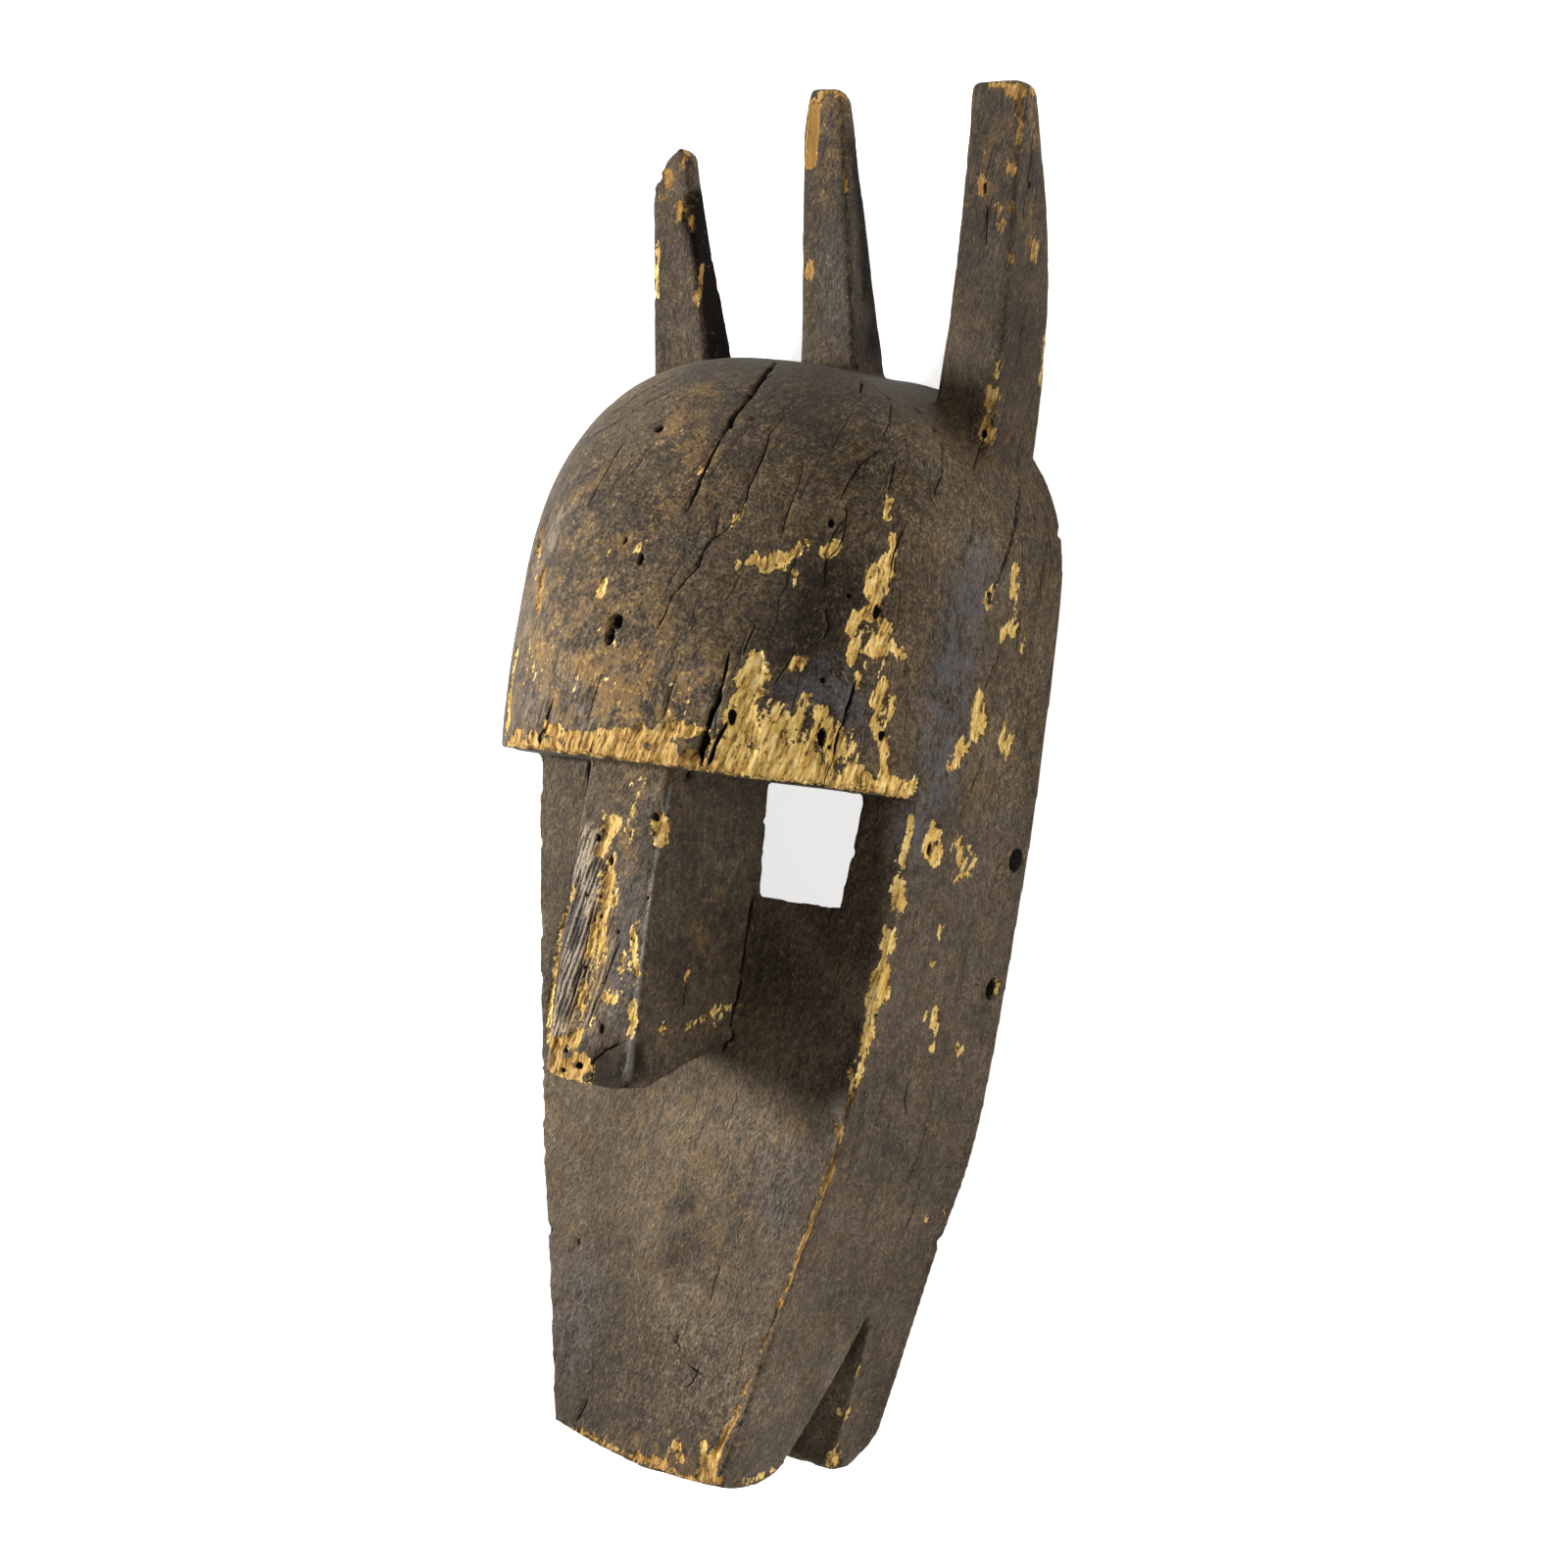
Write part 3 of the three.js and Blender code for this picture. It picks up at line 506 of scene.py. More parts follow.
ROUGH = {
    "chin": (15, 1.0, [(690, 1370), (715, 1405), (740, 1430)]),
    "face low": (12, 0.5, [(640, 1400), (660, 1440)]),
    "dome left": (16, 0.6, [(600, 480), (640, 560)]),
    "dome right": (20, 0.9, [(900, 440), (960, 500), (1030, 520)]),
    "side upper": (12, 0.8, [(1040, 700), (1020, 900)]),
}

# How far a surface may turn from the camera, as photo_side gives it, and still have the photograph's marks,
# and where the hidden sides' own marks begin and have their full strength
SEEN_UNTIL = -0.3
HIDDEN_FROM = -0.05
HIDDEN_FULLY = -0.35

# The hidden sides: how dark and dull they are all over, and seeded patches of each tone, with the size of the
# patches in mm and their greatest strength
HIDDEN_DARK = 0.35
HIDDEN_DULL = 0.75
HIDDEN_TONES = (("thin", 34, 0.55), ("blue", 30, 0.6), ("dark", 42, 0.9), ("pale", 36, 0.6))

# Seeded cracks: where they start, how many there are, and the length in mm of the longest
CHANCE_CRACKS = (("outside", 24, 80), ("hollow", 10, 60))
HAIR_CRACKS = (
    ("dome", 80, 46),
    ("side", 40, 50),
    ("face", 14, 22),
    ("horns", 18, 30),
    ("outside", 90, 50),
)
HAIR_DEPTH = 0.25

# How many seeded nicks and insect holes the hidden sides have
CHANCE_NICKS = 36
CHANCE_HOLES = 30

rng = np.random.default_rng(SEED)


# The camera

def camera_axes():
    """The camera's right, up and backward directions."""
    back = Vector(
        (
            math.sin(CAMERA_TILT) * math.cos(CAMERA_RISE),
            math.sin(CAMERA_RISE),
            math.cos(CAMERA_TILT) * math.cos(CAMERA_RISE),
        )
    )
    level = Vector((math.cos(CAMERA_TILT), 0, -math.sin(CAMERA_TILT)))
    upright = back.cross(level)
    right = level * math.cos(CAMERA_ROLL) + upright * math.sin(CAMERA_ROLL)
    up = upright * math.cos(CAMERA_ROLL) - level * math.sin(CAMERA_ROLL)
    return right, up, back


RIGHT, UP, BACK = camera_axes()
CAMERA_POSITION = CAMERA_TARGET + BACK * CAMERA_DISTANCE


def photo_side(normals):
    """How far each normal points to the side that the photograph shows: 1 straight to it, -1 away from it."""
    return normals @ np.array(BACK)


def linked(name, data):
    """A new object for the data, in the scene."""
    made = bpy.data.objects.new(name, data)
    bpy.context.scene.collection.objects.link(made)
    return made


def make_camera():
    data = bpy.data.cameras.new("camera")
    data.sensor_width = SENSOR_WIDTH
    data.lens = SENSOR_WIDTH * PHOTO_FOCAL / PHOTO_SIZE
    camera = linked("camera", data)
    turn = Matrix((RIGHT, UP, BACK)).transposed().to_4x4()
    camera.matrix_world = Matrix.Translation(CAMERA_POSITION) @ turn
    bpy.context.scene.camera = camera


def pixel_ray(pixel):
    """The direction from the camera through a pixel of the photograph."""
    across = pixel[0] - PHOTO_SIZE / 2
    upward = PHOTO_SIZE / 2 - pixel[1]
    return (RIGHT * across + UP * upward - BACK * PHOTO_FOCAL).normalized()


# Meshes as arrays, in millimetres

def values_of(elements, name, size, kind):
    """A property of a mesh's vertices or edges, with a row for each."""
    values = np.empty(len(elements) * size, kind)
    elements.foreach_get(name, values)
    return values.reshape(-1, size)


def points_of(mesh):
    return values_of(mesh.vertices, "co", 3, np.float32).astype(float) / MM


def set_points(mesh, points):
    mesh.vertices.foreach_set("co", (points * MM).astype(np.float32).ravel())
    mesh.update()


def normals_of(mesh):
    return values_of(mesh.vertex_normals, "vector", 3, np.float32).astype(float)


def edges_of(mesh):
    return values_of(mesh.edges, "vertices", 2, np.int32)


def smoothed(points, edges, strength, rounds):
    """Points moved towards the middle of their neighbours, each as much as its strength says."""
    count = len(points)
    ends = np.concatenate((edges[:, 0], edges[:, 1]))
    others = np.concatenate((edges[:, 1], edges[:, 0]))
    neighbours = np.maximum(np.bincount(ends, minlength=count), 1)
    points = points.copy()
    for _ in range(rounds):
        for axis in range(3):
            middle = np.bincount(ends, points[others, axis], count) / neighbours
            points[:, axis] += strength * (middle - points[:, axis])
    return points


def with_modifier(mesh, kind, **settings):
    """A new mesh: the given one after one modifier."""
    carrier = linked("carrier", mesh)
    modifier = carrier.modifiers.new(kind.lower(), kind)
    for name, value in settings.items():
        setattr(modifier, name, value)
    shown = carrier.evaluated_get(bpy.context.evaluated_depsgraph_get())
    made = bpy.data.meshes.new_from_object(shown)
    bpy.data.objects.remove(carrier)
    return made


# Noise and smooth steps

def clamp_step(low, high, value):
    """0 below low, 1 above high, and a smooth rise between."""
    t = np.clip((value - low) / (high - low), 0, 1)
    return t * t * (3 - 2 * t)


LATTICE = 64
lattice_values = rng.uniform(-1, 1, (LATTICE, LATTICE, LATTICE)).astype(np.float32)
lattice_list = lattice_values.ravel()


def lattice_noise(scaled):
    """Smooth noise between the values of a seeded lattice, by places in its cells."""
    cell = np.floor(scaled)
    fade = scaled - cell
    fade = fade * fade * (3 - 2 * fade)
    low = cell.astype(np.int32) % LATTICE
    high = (low + 1) % LATTICE

    def along_z(i, j):
        row = (i * LATTICE + j) * LATTICE
        start = lattice_list[row + low[2]]
        return start + fade[2] * (lattice_list[row + high[2]] - start)

    near = along_z(low[0], low[1])
    near += fade[1] * (along_z(low[0], high[1]) - near)
    far = along_z(high[0], low[1])
    far += fade[1] * (along_z(high[0], high[1]) - far)
    return near + fade[0] * (far - near)


def noise(points, size, shift=0.0, octaves=1):
    """Smooth noise, about -1 to 1. The size of its bumps is one length, or one for each axis.

    The shift takes it from another part of the lattice, so that noises of one size differ.
    """
    finer, apart, weaker = np.float32(2.03), np.float32(17.3), 0.5
    scaled = np.ascontiguousarray((points / np.asarray(size, float) + shift).T, np.float32)
    total = np.zeros(len(points), np.float32)
    strength = 1.0
    for _ in range(octaves):
        total += strength * lattice_noise(scaled)
        scaled = scaled * finer + apart
        strength *= weaker
    return total


def grain_coordinates(points):
    """Distance across the grain round the pith, distance along it, and distance from the pith."""
    sideways = points[:, 0] - GRAIN_LEAN * points[:, 1]
    height = points[:, 2] - PITH_HEIGHT
    across = np.arctan2(sideways, height) * PITH_RADIUS
    return np.stack((across, points[:, 1], np.hypot(sideways, height)), axis=1)


# The solid, ready to be marked

def merged_solid():
    """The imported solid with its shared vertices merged."""
    closest = 0.002 * MM
    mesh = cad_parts[NODE].data.copy()
    shape = bmesh.new()
    shape.from_mesh(mesh)
    bmesh.ops.remove_doubles(shape, verts=shape.verts, dist=closest)
    shape.normal_update()
    return mesh, shape


def arris_points(shape):
    """Points close together along the solid's outward edges, and its inner corners outside the hollow."""
    least_angle = math.radians(28)
    spacing = 0.8 * MM
    outward = []
    inward = []
    for edge in shape.edges:
        angle = edge.calc_face_angle_signed(0)
        start, end = edge.verts[0].co, edge.verts[1].co
        count = max(1, math.ceil((end - start).length / spacing))
        points = [start.lerp(end, i / count) / MM for i in range(count + 1)]
        middle = (start + end) / 2 / MM
        over_ceiling = middle.z > HOLLOW_CEILING and middle.y < HEAD_START
        outside = over_ceiling or not HOLLOW_END < middle.y < HOLLOW_CROWN
        if angle > least_angle:
            outward += points
        if angle < -least_angle and outside:
            inward += points
    return outward, inward


def tree_of(points):
    """A tree that finds the nearest of the points."""
    tree = KDTree(len(points))
    for i, point in enumerate(points):
        tree.insert(point, i)
    tree.balance()
    return tree


def distances(points, targets):
    """How far each point is from the nearest target."""
    tree = tree_of(targets)
    return np.fromiter((tree.find(point)[2] for point in points), float, len(points))


make_camera()
solid_mesh, solid_shape = merged_solid()
solid_tree = BVHTree.FromBMesh(solid_shape)
arrises, inner_corners = arris_points(solid_shape)
solid_shape.to_mesh(solid_mesh)
solid_shape.free()


# Lines on the solid

def surface_point(pixel):
    """Where a pixel of the photograph shows the mask, in mm; past its outline, the nearest place."""
    ray = pixel_ray(pixel)
    hit, _, _, _ = solid_tree.ray_cast(CAMERA_POSITION, ray)
    if hit is None:
        beside = CAMERA_POSITION + ray * CAMERA_DISTANCE
        hit, _, _, _ = solid_tree.find_nearest(beside)
    return np.array(hit) / MM


def surface_line(pixels, spacing=2.0):
    """A line of pixels laid on the surface, with a point at least every few millimetres."""
    dense = [pixels[0]]
    pixel_size = CAMERA_DISTANCE / PHOTO_FOCAL / MM
    for (x0, y0), (x1, y1) in zip(pixels, pixels[1:]):
        count = max(1, round(math.hypot(x1 - x0, y1 - y0) * pixel_size / spacing))
        dense += [(x0 + (x1 - x0) * i / count, y0 + (y1 - y0) * i / count) for i in range(1, count + 1)]
    return np.array([surface_point(pixel) for pixel in dense])


def grain_line(start, length):
    """A seeded line along the grain from a point on the surface, in mm."""
    step = 2.0
    lean = GRAIN_LEAN + rng.uniform(-0.1, 0.1)
    wander = rng.normal(0, 0.35, int(length / step) + 1)
    place = Vector(start) * MM
    line = []
    for sideways in wander:
        place, normal, _, _ = solid_tree.find_nearest(place)
        line.append(np.array(place) / MM)
        along = (Vector((lean, 1, 0)) - normal * normal.y).normalized()
        place = place + (along * step + normal.cross(along) * sideways) * MM
    return np.array(line)


def line_distance(points, line):
    """How far each point is from a line, and how far along it, 0 to 1, the nearest place is."""
    longest_step = 9
    if len(line) == 1:
        return np.linalg.norm(points - line[0], axis=1), np.zeros(len(points))
    nearest = np.full(len(points), 1e9)
    along = np.zeros(len(points))
    for i, (start, end) in enumerate(zip(line, line[1:])):
        step = end - start
        if np.linalg.norm(step) > longest_step:
            continue
        t = np.clip((points - start) @ step / max(step @ step, 1e-9), 0, 1)
        distance = np.linalg.norm(points - start - t[:, None] * step, axis=1)
        closer = distance < nearest
        nearest[closer] = distance[closer]
        along[closer] = (i + t[closer]) / (len(line) - 1)
    return nearest, along


def line_side(points, normals, line):
    """Distance to a line along the surface, how far along the line, and on which side of it each point is.

    The line lies on the faceted solid, so a point may be above or below it by this much and still be on it.
    """
    rise = 1.2
    distance, along = line_distance(points, line)
    place = along * (len(line) - 1)
    index = np.minimum(place.astype(int), len(line) - 2)
    start, step = line[index], line[index + 1] - line[index]
    offset = points - start - (place - index)[:, None] * step
    above = np.abs(np.sum(offset * normals, axis=1))
    beside = np.sqrt(np.maximum(distance**2 - above**2, 0))
    distance = np.hypot(beside, np.maximum(above - rise, 0))
    return distance, along, np.where(np.sum(np.cross(offset, step) * normals, axis=1) < 0, -1, 1)


def strap_rim(level, side):
    """The rim of a strap hole on one side of the mask, in mm."""
    reach = STRAP_RADIUS + 0.3
    beside_mask = side * 80
    rim = []
    for turn in np.linspace(0, math.tau, 25):
        beside = Vector((beside_mask, level + reach * math.cos(turn), STRAP_HEIGHT + reach * math.sin(turn)))
        place, _, _, _ = solid_tree.find_nearest(beside * MM)
        rim.append(np.array(place) / MM)
    return np.array(rim)


def near_line(points, line, reach):
    """Indices of the points within reach of the line's box."""
    low, high = line.min(0) - reach, line.max(0) + reach
    return np.flatnonzero(np.all((points > low) & (points < high), axis=1))


def seen_near(points, seen, line, reach):
    """Indices of the seen points near a line, and how far each is from it."""
    near = near_line(points, line, reach)
    near = near[seen[near]]
    distance, _ = line_distance(points[near], line)
    return near, distance


# The fine mesh of the plain carving

def inside_share(points, normals):
    """1 on the walls of the hollow behind the face, 0 elsewhere."""
    middle_height = 30.0
    middle_ends = (-130, 110)
    half_width = 72.5
    above_all = 200
    x, y, z = points.T
    along = np.clip(y, *middle_ends)
    centre = np.stack((np.zeros(len(x)), along, np.full(len(x), middle_height)), axis=1)
    inward = centre - points
    inward /= np.linalg.norm(inward, axis=1)[:, None]
    facing = np.sum(normals * inward, axis=1)
    ceiling = np.where(y < HEAD_START, HOLLOW_CEILING, above_all)
    within = (abs(x) < half_width) & (y > HOLLOW_END) & (y < HOLLOW_CROWN) & (z < ceiling)
    return clamp_step(0.0, 0.25, facing) * within


def plain_carving():
    """The solid meshed evenly, its flat facets eased into curves and its arrises a little worn."""
    easing_rounds, wearing_rounds = 60, 7
    mesh = with_modifier(solid_mesh, "REMESH", mode="VOXEL", voxel_size=VOXEL * MM)
    points = points_of(mesh)
    for i, point in enumerate(points):
        points[i] = np.array(solid_tree.find_nearest(Vector(point) * MM)[0]) / MM
    edges = edges_of(mesh)
    from_corner = distances(points, inner_corners)
    away = clamp_step(1.0, 5.5, np.minimum(from_corner, distances(points, arrises)))
    points = smoothed(points, edges, 0.5 * away, easing_rounds)
    worn = 0.15 + 0.35 * clamp_step(-0.4, 0.8, noise(points, 30, 4.4))
    worn *= clamp_step(0.5, 3.0, from_corner)
    points = smoothed(points, edges, worn * (1 - away), wearing_rounds)
    set_points(mesh, points)
    return mesh


def cut_near(mesh, lines, reach, cuts):
    """Cut the faces near the lines more finely."""
    shape = bmesh.new()
    shape.from_mesh(mesh)
    for _ in range(cuts):
        centres = np.array([face.calc_center_median() for face in shape.faces]) / MM
        shape.faces.ensure_lookup_table()
        chosen = set()
        for line in lines:
            near = near_line(centres, line, reach)
            distance, _ = line_distance(centres[near], line)
            chosen.update(near[distance < reach].tolist())
        edges = {edge for i in chosen for edge in shape.faces[i].edges}
        bmesh.ops.subdivide_edges(shape, edges=list(edges), cuts=1, use_grid_fill=True)
        bmesh.ops.triangulate(shape, faces=[face for face in shape.faces if len(face.verts) > 4])
    shape.to_mesh(mesh)
    shape.free()
    mesh.update()


# Seeded marks

def crack_starts(mesh):
    """Where seeded cracks may start, in mm, for each part of the mask."""
    above_rim, within_hollow, face_height = 4, 20, 70
    points, normals = points_of(mesh), normals_of(mesh)
    x, y, z = points.T
    walls = inside_share(points, normals)
    away = photo_side(normals) < -0.1
    return {
        "outside": points[away & (walls == 0) & (z > above_rim)],
        "hollow": points[(walls > 0.9) & (z > within_hollow)],
        "dome": points[~away & (y > 0) & (y < HEAD_END)],
        "side": points[~away & (x > SIDE_WALL)],
        "face": points[~away & (y < 0) & (z > face_height)],
        "horns": points[y > HORN_START],
    }


def chance_cracks(starts, count, longest):
    """Seeded checks along the grain on the hidden sides: half width, depth, line and group of each."""
    cracks = []
    for start in starts[rng.choice(len(starts), count, replace=False)]:
        length = longest * rng.uniform(0.3, 1.0) ** 1.5
        half_width = rng.uniform(0.12, 0.24) + length / 450
        cracks.append((half_width, 1 + 4 * half_width, grain_line(start, length), "hidden"))
    return cracks


def hair_cracks(starts, count, longest):
    """Seeded hair cracks along the grain, too fine to open the surface."""
    cracks = []
    for start in starts[rng.choice(len(starts), count, replace=False)]:
        line = grain_line(start, longest * rng.uniform(0.2, 1.0) ** 1.6)
        cracks.append((rng.uniform(0.11, 0.21), HAIR_DEPTH, line, "any"))
    return [crack for crack in cracks if len(crack[2]) > 2]


def chance_nicks():
    """Seeded nicks in the edges that the photograph hides: the radius of each, and its place."""
    above_rim = 1
    hidden = [place for place in arrises if Vector(place).dot(BACK) < 0 and place[2] > above_rim]
    radii = rng.uniform(0.7, 1.8, CHANCE_NICKS)
    chosen = rng.choice(len(hidden), CHANCE_NICKS, replace=False)
    return [(radius, np.array(hidden[i])) for radius, i in zip(radii, chosen)]


def chance_holes(starts):
    """Seeded insect holes: half width, half length, depth and place of each."""
    sizes = rng.uniform(0.6, 1.1, CHANCE_HOLES)
    places = starts[rng.choice(len(starts), CHANCE_HOLES)]
    return [(size, size * rng.uniform(1.0, 1.8), 3 * size, place) for size, place in zip(sizes, places)]


# The marks, as fields over the fine mesh

def ragged(points, grain):
    """The points shifted a little sideways, to fray the outline of a mark."""
    shifts = [noise(grain, (1.6, 5.0, 3.0), 3.1 + 7.7 * axis, 2) for axis in range(3)]
    return points + np.stack(shifts, axis=1) * np.array((0.7, 1.2, 0.7))


def wavering(points, grain):
    """The points shifted a little sideways, so that a straight crack wavers."""
    shifts = [noise(grain, (3.0, 4.0, 4.0), 30.3 + 9.1 * axis, 2) for axis in range(3)]
    return points + 0.3 * np.stack(shifts, axis=1)


def bare_field(points, grain, seen, arris, hidden):
    """How far inside bare wood each point is, in mm, below 0 outside it, and 1 where it split off cleanly."""
    deepest = 3
    most_fray = 2.3
    shifted = ragged(points, grain)
    fray = noise(grain, (2.6, 11.0, 6.0), 40.5, 2) + 0.8 * noise(points, 4.2, 77.7, 2)
    depth = np.full(len(points), FAR_OUTSIDE)
    for half_width, line in bare_lines:
        near, distance = seen_near(shifted, seen, line, half_width + 6)
        inside = half_width + 0.4 - distance + min(0.6 * half_width, most_fray) * fray[near]
        depth[near] = np.maximum(depth[near], inside)
    for reach, share, line in broken_lines:
        near, distance = seen_near(points, seen, line, reach * 1.6)
        level = 2.6 * (share - 0.55) - 1.2 * (distance / reach) ** 2
        depth[near] = np.maximum(depth[near], level + 0.5 * fray[near])
    left_over = clamp_step(0.6, 0.85, noise(grain, (2.2, 7.0, 5.0), 12.9, 2))
    depth -= 2.0 * left_over
    clean = np.full(len(points), FAR_OUTSIDE)
    for half_width, line in split_lines:
        near, distance = seen_near(points, seen, line, half_width + 3)
        clean[near] = np.maximum(clean[near], 3 * (half_width - distance))
    worn = noise(grain, (14.0, 26.0, 14.0), 90.1, 2) + 0.3 * noise(grain, (5.0, 12.0, 6.0), 61.3, 2)
    by_chance = np.clip(2.8 * (worn - 0.6) - 0.4 * arris, FAR_OUTSIDE, deepest)
    depth = np.maximum(depth, by_chance * hidden + FAR_OUTSIDE * (1 - hidden))
    return np.clip(np.maximum(depth, clean), -deepest, deepest), clamp_step(-1.0, 1.5, clean)


def crack_field(points, normals, grain, seen, inner):
    """Depth of the cracks in mm, the distance to the nearest one, and that distance in its half widths.

    The last is below 0 on one side and 0 in the middle of a crack, so it stays sharp between far points.
    """
    least_groove = 0.3
    farthest = 3.0
    shifted = wavering(points, grain)
    width_change = 1 + 0.5 * noise(grain, (4.0, 5.0, 4.0), 70.7, 2)
    depth = np.zeros(len(points))
    apart = np.full(len(points), farthest)
    gape = np.full(len(points), 99.0)
    for half_width, deep, line, group in crack_lines + hair_lines:
        near = near_line(shifted, line, farthest)
        if group == "seen":
            near = near[seen[near]]
        elif group == "hidden":
            near = near[(photo_side(normals[near]) < HIDDEN_FROM) | (inner[near] > 0.5)]
        distance, along, side = line_side(shifted[near], normals[near], line)
        from_end = np.minimum(along, 1 - along)
        taper = np.clip(7 * from_end, 0.25, 1)
        wide = np.maximum(half_width * width_change[near] * (0.45 + 0.55 * taper), least_groove)
        depth[near] = np.maximum(depth[near], deep * taper * np.clip(1 - (distance / wide) ** 2, 0, 1))
        closer = distance < apart[near]
        drawn = half_width * width_change[near] * np.clip(9 * from_end, 0.02, 1)
        apart[near[closer]] = distance[closer]
        gape[near[closer]] = (distance * side / drawn)[closer]
    return depth, apart, gape


def hole_field(points, normals):
    """Depth of the holes and pits in mm."""
    depth = np.zeros(len(points))
    for wide, long, deep, centre in hole_places:
        near = near_line(points, centre[None], max(wide, long) * 1.6)
        if not len(near):
            continue
        _, normal, _, _ = solid_tree.find_nearest(Vector(centre) * MM)
        along = (Vector((0, 1, 0)) - normal * normal.y).normalized()
        across = normal.cross(along)
        offset = points[near] - centre
        facing = normals[near] @ np.array(normal) > 0.2
        a = offset @ np.array(along) / long
        b = offset @ np.array(across) / wide
        edge = np.hypot(a, b) + 0.18 * noise(points[near], 1.2, 14.2)
        depth[near] = np.maximum(depth[near], deep * clamp_step(1.12, 0.72, edge) * facing)
    return depth


def tone_field(lines, points, seen):
    """A soft field round each of the lines of a tone, as strong as each line's greatest strength."""
    strength = np.zeros(len(points))
    for reach, most, line in lines:
        edge, core = 1.5 * reach, 0.4 * reach
        near, distance = seen_near(points, seen, line, edge)
        strength[near] = np.maximum(strength[near], most * clamp_step(edge, core, distance))
    return strength


def scoops(grain):
    """Hollows of adze cuts: 1 in the middle of each, 0 on the ridges between."""
    scoop_size = (14, 26)
    grid = grain[:, :2] / np.array(scoop_size)
    cell = np.floor(grid).astype(np.int64)
    nearest = np.full(len(grain), 9.0)
    for shift in itertools.product((-1, 0, 1), repeat=2):
        i, j = ((cell + shift) % LATTICE).T
        jitter = np.stack((lattice_values[i, j, 5], lattice_values[i, j, 6]), axis=1)
        offset = grid - (cell + shift + 0.5 + 0.35 * jitter)
        nearest = np.minimum(nearest, np.sum(offset**2, axis=1))
    return 1 - np.clip(nearest / 0.5, 0, 1)


def strap_field(points):
    """How much painted shade darkens the strap holes' bores, and how far inside the bare wood of one rim each
    point is, in mm.
    """
    reach = STRAP_RADIUS + 0.3
    bore_shade = np.zeros(len(points))
    worn = np.full(len(points), FAR_OUTSIDE)
    for level in STRAP_LEVELS:
        radius = np.hypot(points[:, 1] - level, points[:, 2] - STRAP_HEIGHT)
        for side in (-1, 1):
            wall = np.flatnonzero((radius < reach) & (points[:, 0] * side > SIDE_WALL))
            bore_shade[wall] = 1
            if level == STRAP_LEVELS[0]:
                continue
            from_rim, _ = line_distance(points[wall], strap_rim(level, side))
            below = (STRAP_HEIGHT - points[wall, 2]) / STRAP_RADIUS
            worn[wall] = 0.5 - from_rim + 1.5 * below + 0.5 * noise(points[wall], 2.5, 44.1)
            bore_shade[wall] = clamp_step(0.2, -0.2, worn[wall])
    return bore_shade, worn


def torn_edge(points, normals):
    """How deeply the wood is torn round the eye holes, in mm."""
    depth = np.zeros(len(points))
    core, reach = 3, 6
    near = near_line(points, eye_hole_rim, reach + 1)
    distance, _ = line_distance(points[near], eye_hole_rim)
    tearing = 0.5 + 0.7 * noise(points[near], (2.6, 2.6, 9.0), 81.3, 2)
    depth[near] = tearing * clamp_step(reach, core, distance) * (abs(normals[near, 2]) < 0.6)
    return depth


def tone_fields(points, seen, hidden):
    """The broad changes of the patina, some of them painted shade and light: those of the photograph, and
    seeded patches on the hidden sides.
    """
    tones = {name: tone_field(lines, points, seen) for name, lines in tone_lines.items()}
    tones["dull"] = np.maximum(tones["dull"], HIDDEN_DULL * hidden)
    tones["dark"] = np.maximum(tones["dark"], HIDDEN_DARK * hidden)
    for i, (name, size, most) in enumerate(HIDDEN_TONES):
        patches = clamp_step(-0.1, 0.7, noise(points, size, 11.3 * i + 3.7, 3))
        tones[name] = np.maximum(tones[name], most * hidden * patches)
    return tones


def grain_ridges(grain):
    """Fibres along the grain, and ridges of them: above 0 where weathering took the softer wood."""
    fibres = noise(grain, (1.4, 14.0, 3.0), 22.2, 2)
    comb = np.sin(grain[:, 0] / COMB_SPACING * math.tau + 4.0 * noise(grain, (6.0, 40.0, 6.0), 2.2, 2))
    return fibres, 0.5 * comb + 0.6 * fibres


def worn_depth(points, grain, inner, arris, bare, clean, tones):
    """How deep hewing, weathering, lost patina and chipped edges took the surface, in mm, and the ridges."""
    fibres, ridge = grain_ridges(grain)
    crumbs = noise(points, 2.4, 51.1, 2)
    uneven = 0.45 + 0.35 * noise(points, 28, 5.2) + 0.15 * noise(points, 9, 8.8)
    depth = uneven * clamp_step(0.5, 7, points[:, 2])
    depth += SCOOP_DEPTH * inner * scoops(grain)
    horns = clamp_step(HOLLOW_CROWN - 20, HOLLOW_CROWN, points[:, 1])
    lost = clamp_step(-0.25, 0.5, bare) * (1 - 0.6 * horns)
    depth += lost * (0.5 + 0.3 * np.clip(bare, 0, 3) + (1 - clean) * (0.5 * fibres + 0.2 * crumbs))
    depth += clamp_step(0.6, 1.0, tones["fibrous"]) * RIDGE_DEPTH * ridge
    depth += tones["rough"] * ROUGH_DEPTH * (1 + noise(points, 3.2, 71.9, 2))
    chipped = clamp_step(0.2, 0.75, noise(points, 6.5, 33.9, 2)) * clamp_step(2.6, 0.3, arris)
    depth += (CHIP_DEPTH - 0.65 * horns) * chipped * (1 - inner) * clamp_step(0.5, 5, points[:, 2])
    from_holes = [np.hypot(points[:, 1] - y, points[:, 2] - STRAP_HEIGHT) for y in STRAP_LEVELS]
    depth *= clamp_step(STRAP_RADIUS + 1, STRAP_RADIUS + 4, np.min(from_holes, axis=0))
    return depth, ridge


def nick_field(points):
    """Depth of the nicks in the edges, in mm."""
    depth = np.zeros(len(points))
    for radius, place in nick_places:
        near = near_line(points, place[None], radius * 1.5)
        distance = np.linalg.norm(points[near] - place, axis=1) + 0.4 * noise(points[near], 1.5, 6.6)
        depth[near] += np.clip(1.35 * radius - distance, 0, radius)
    return depth


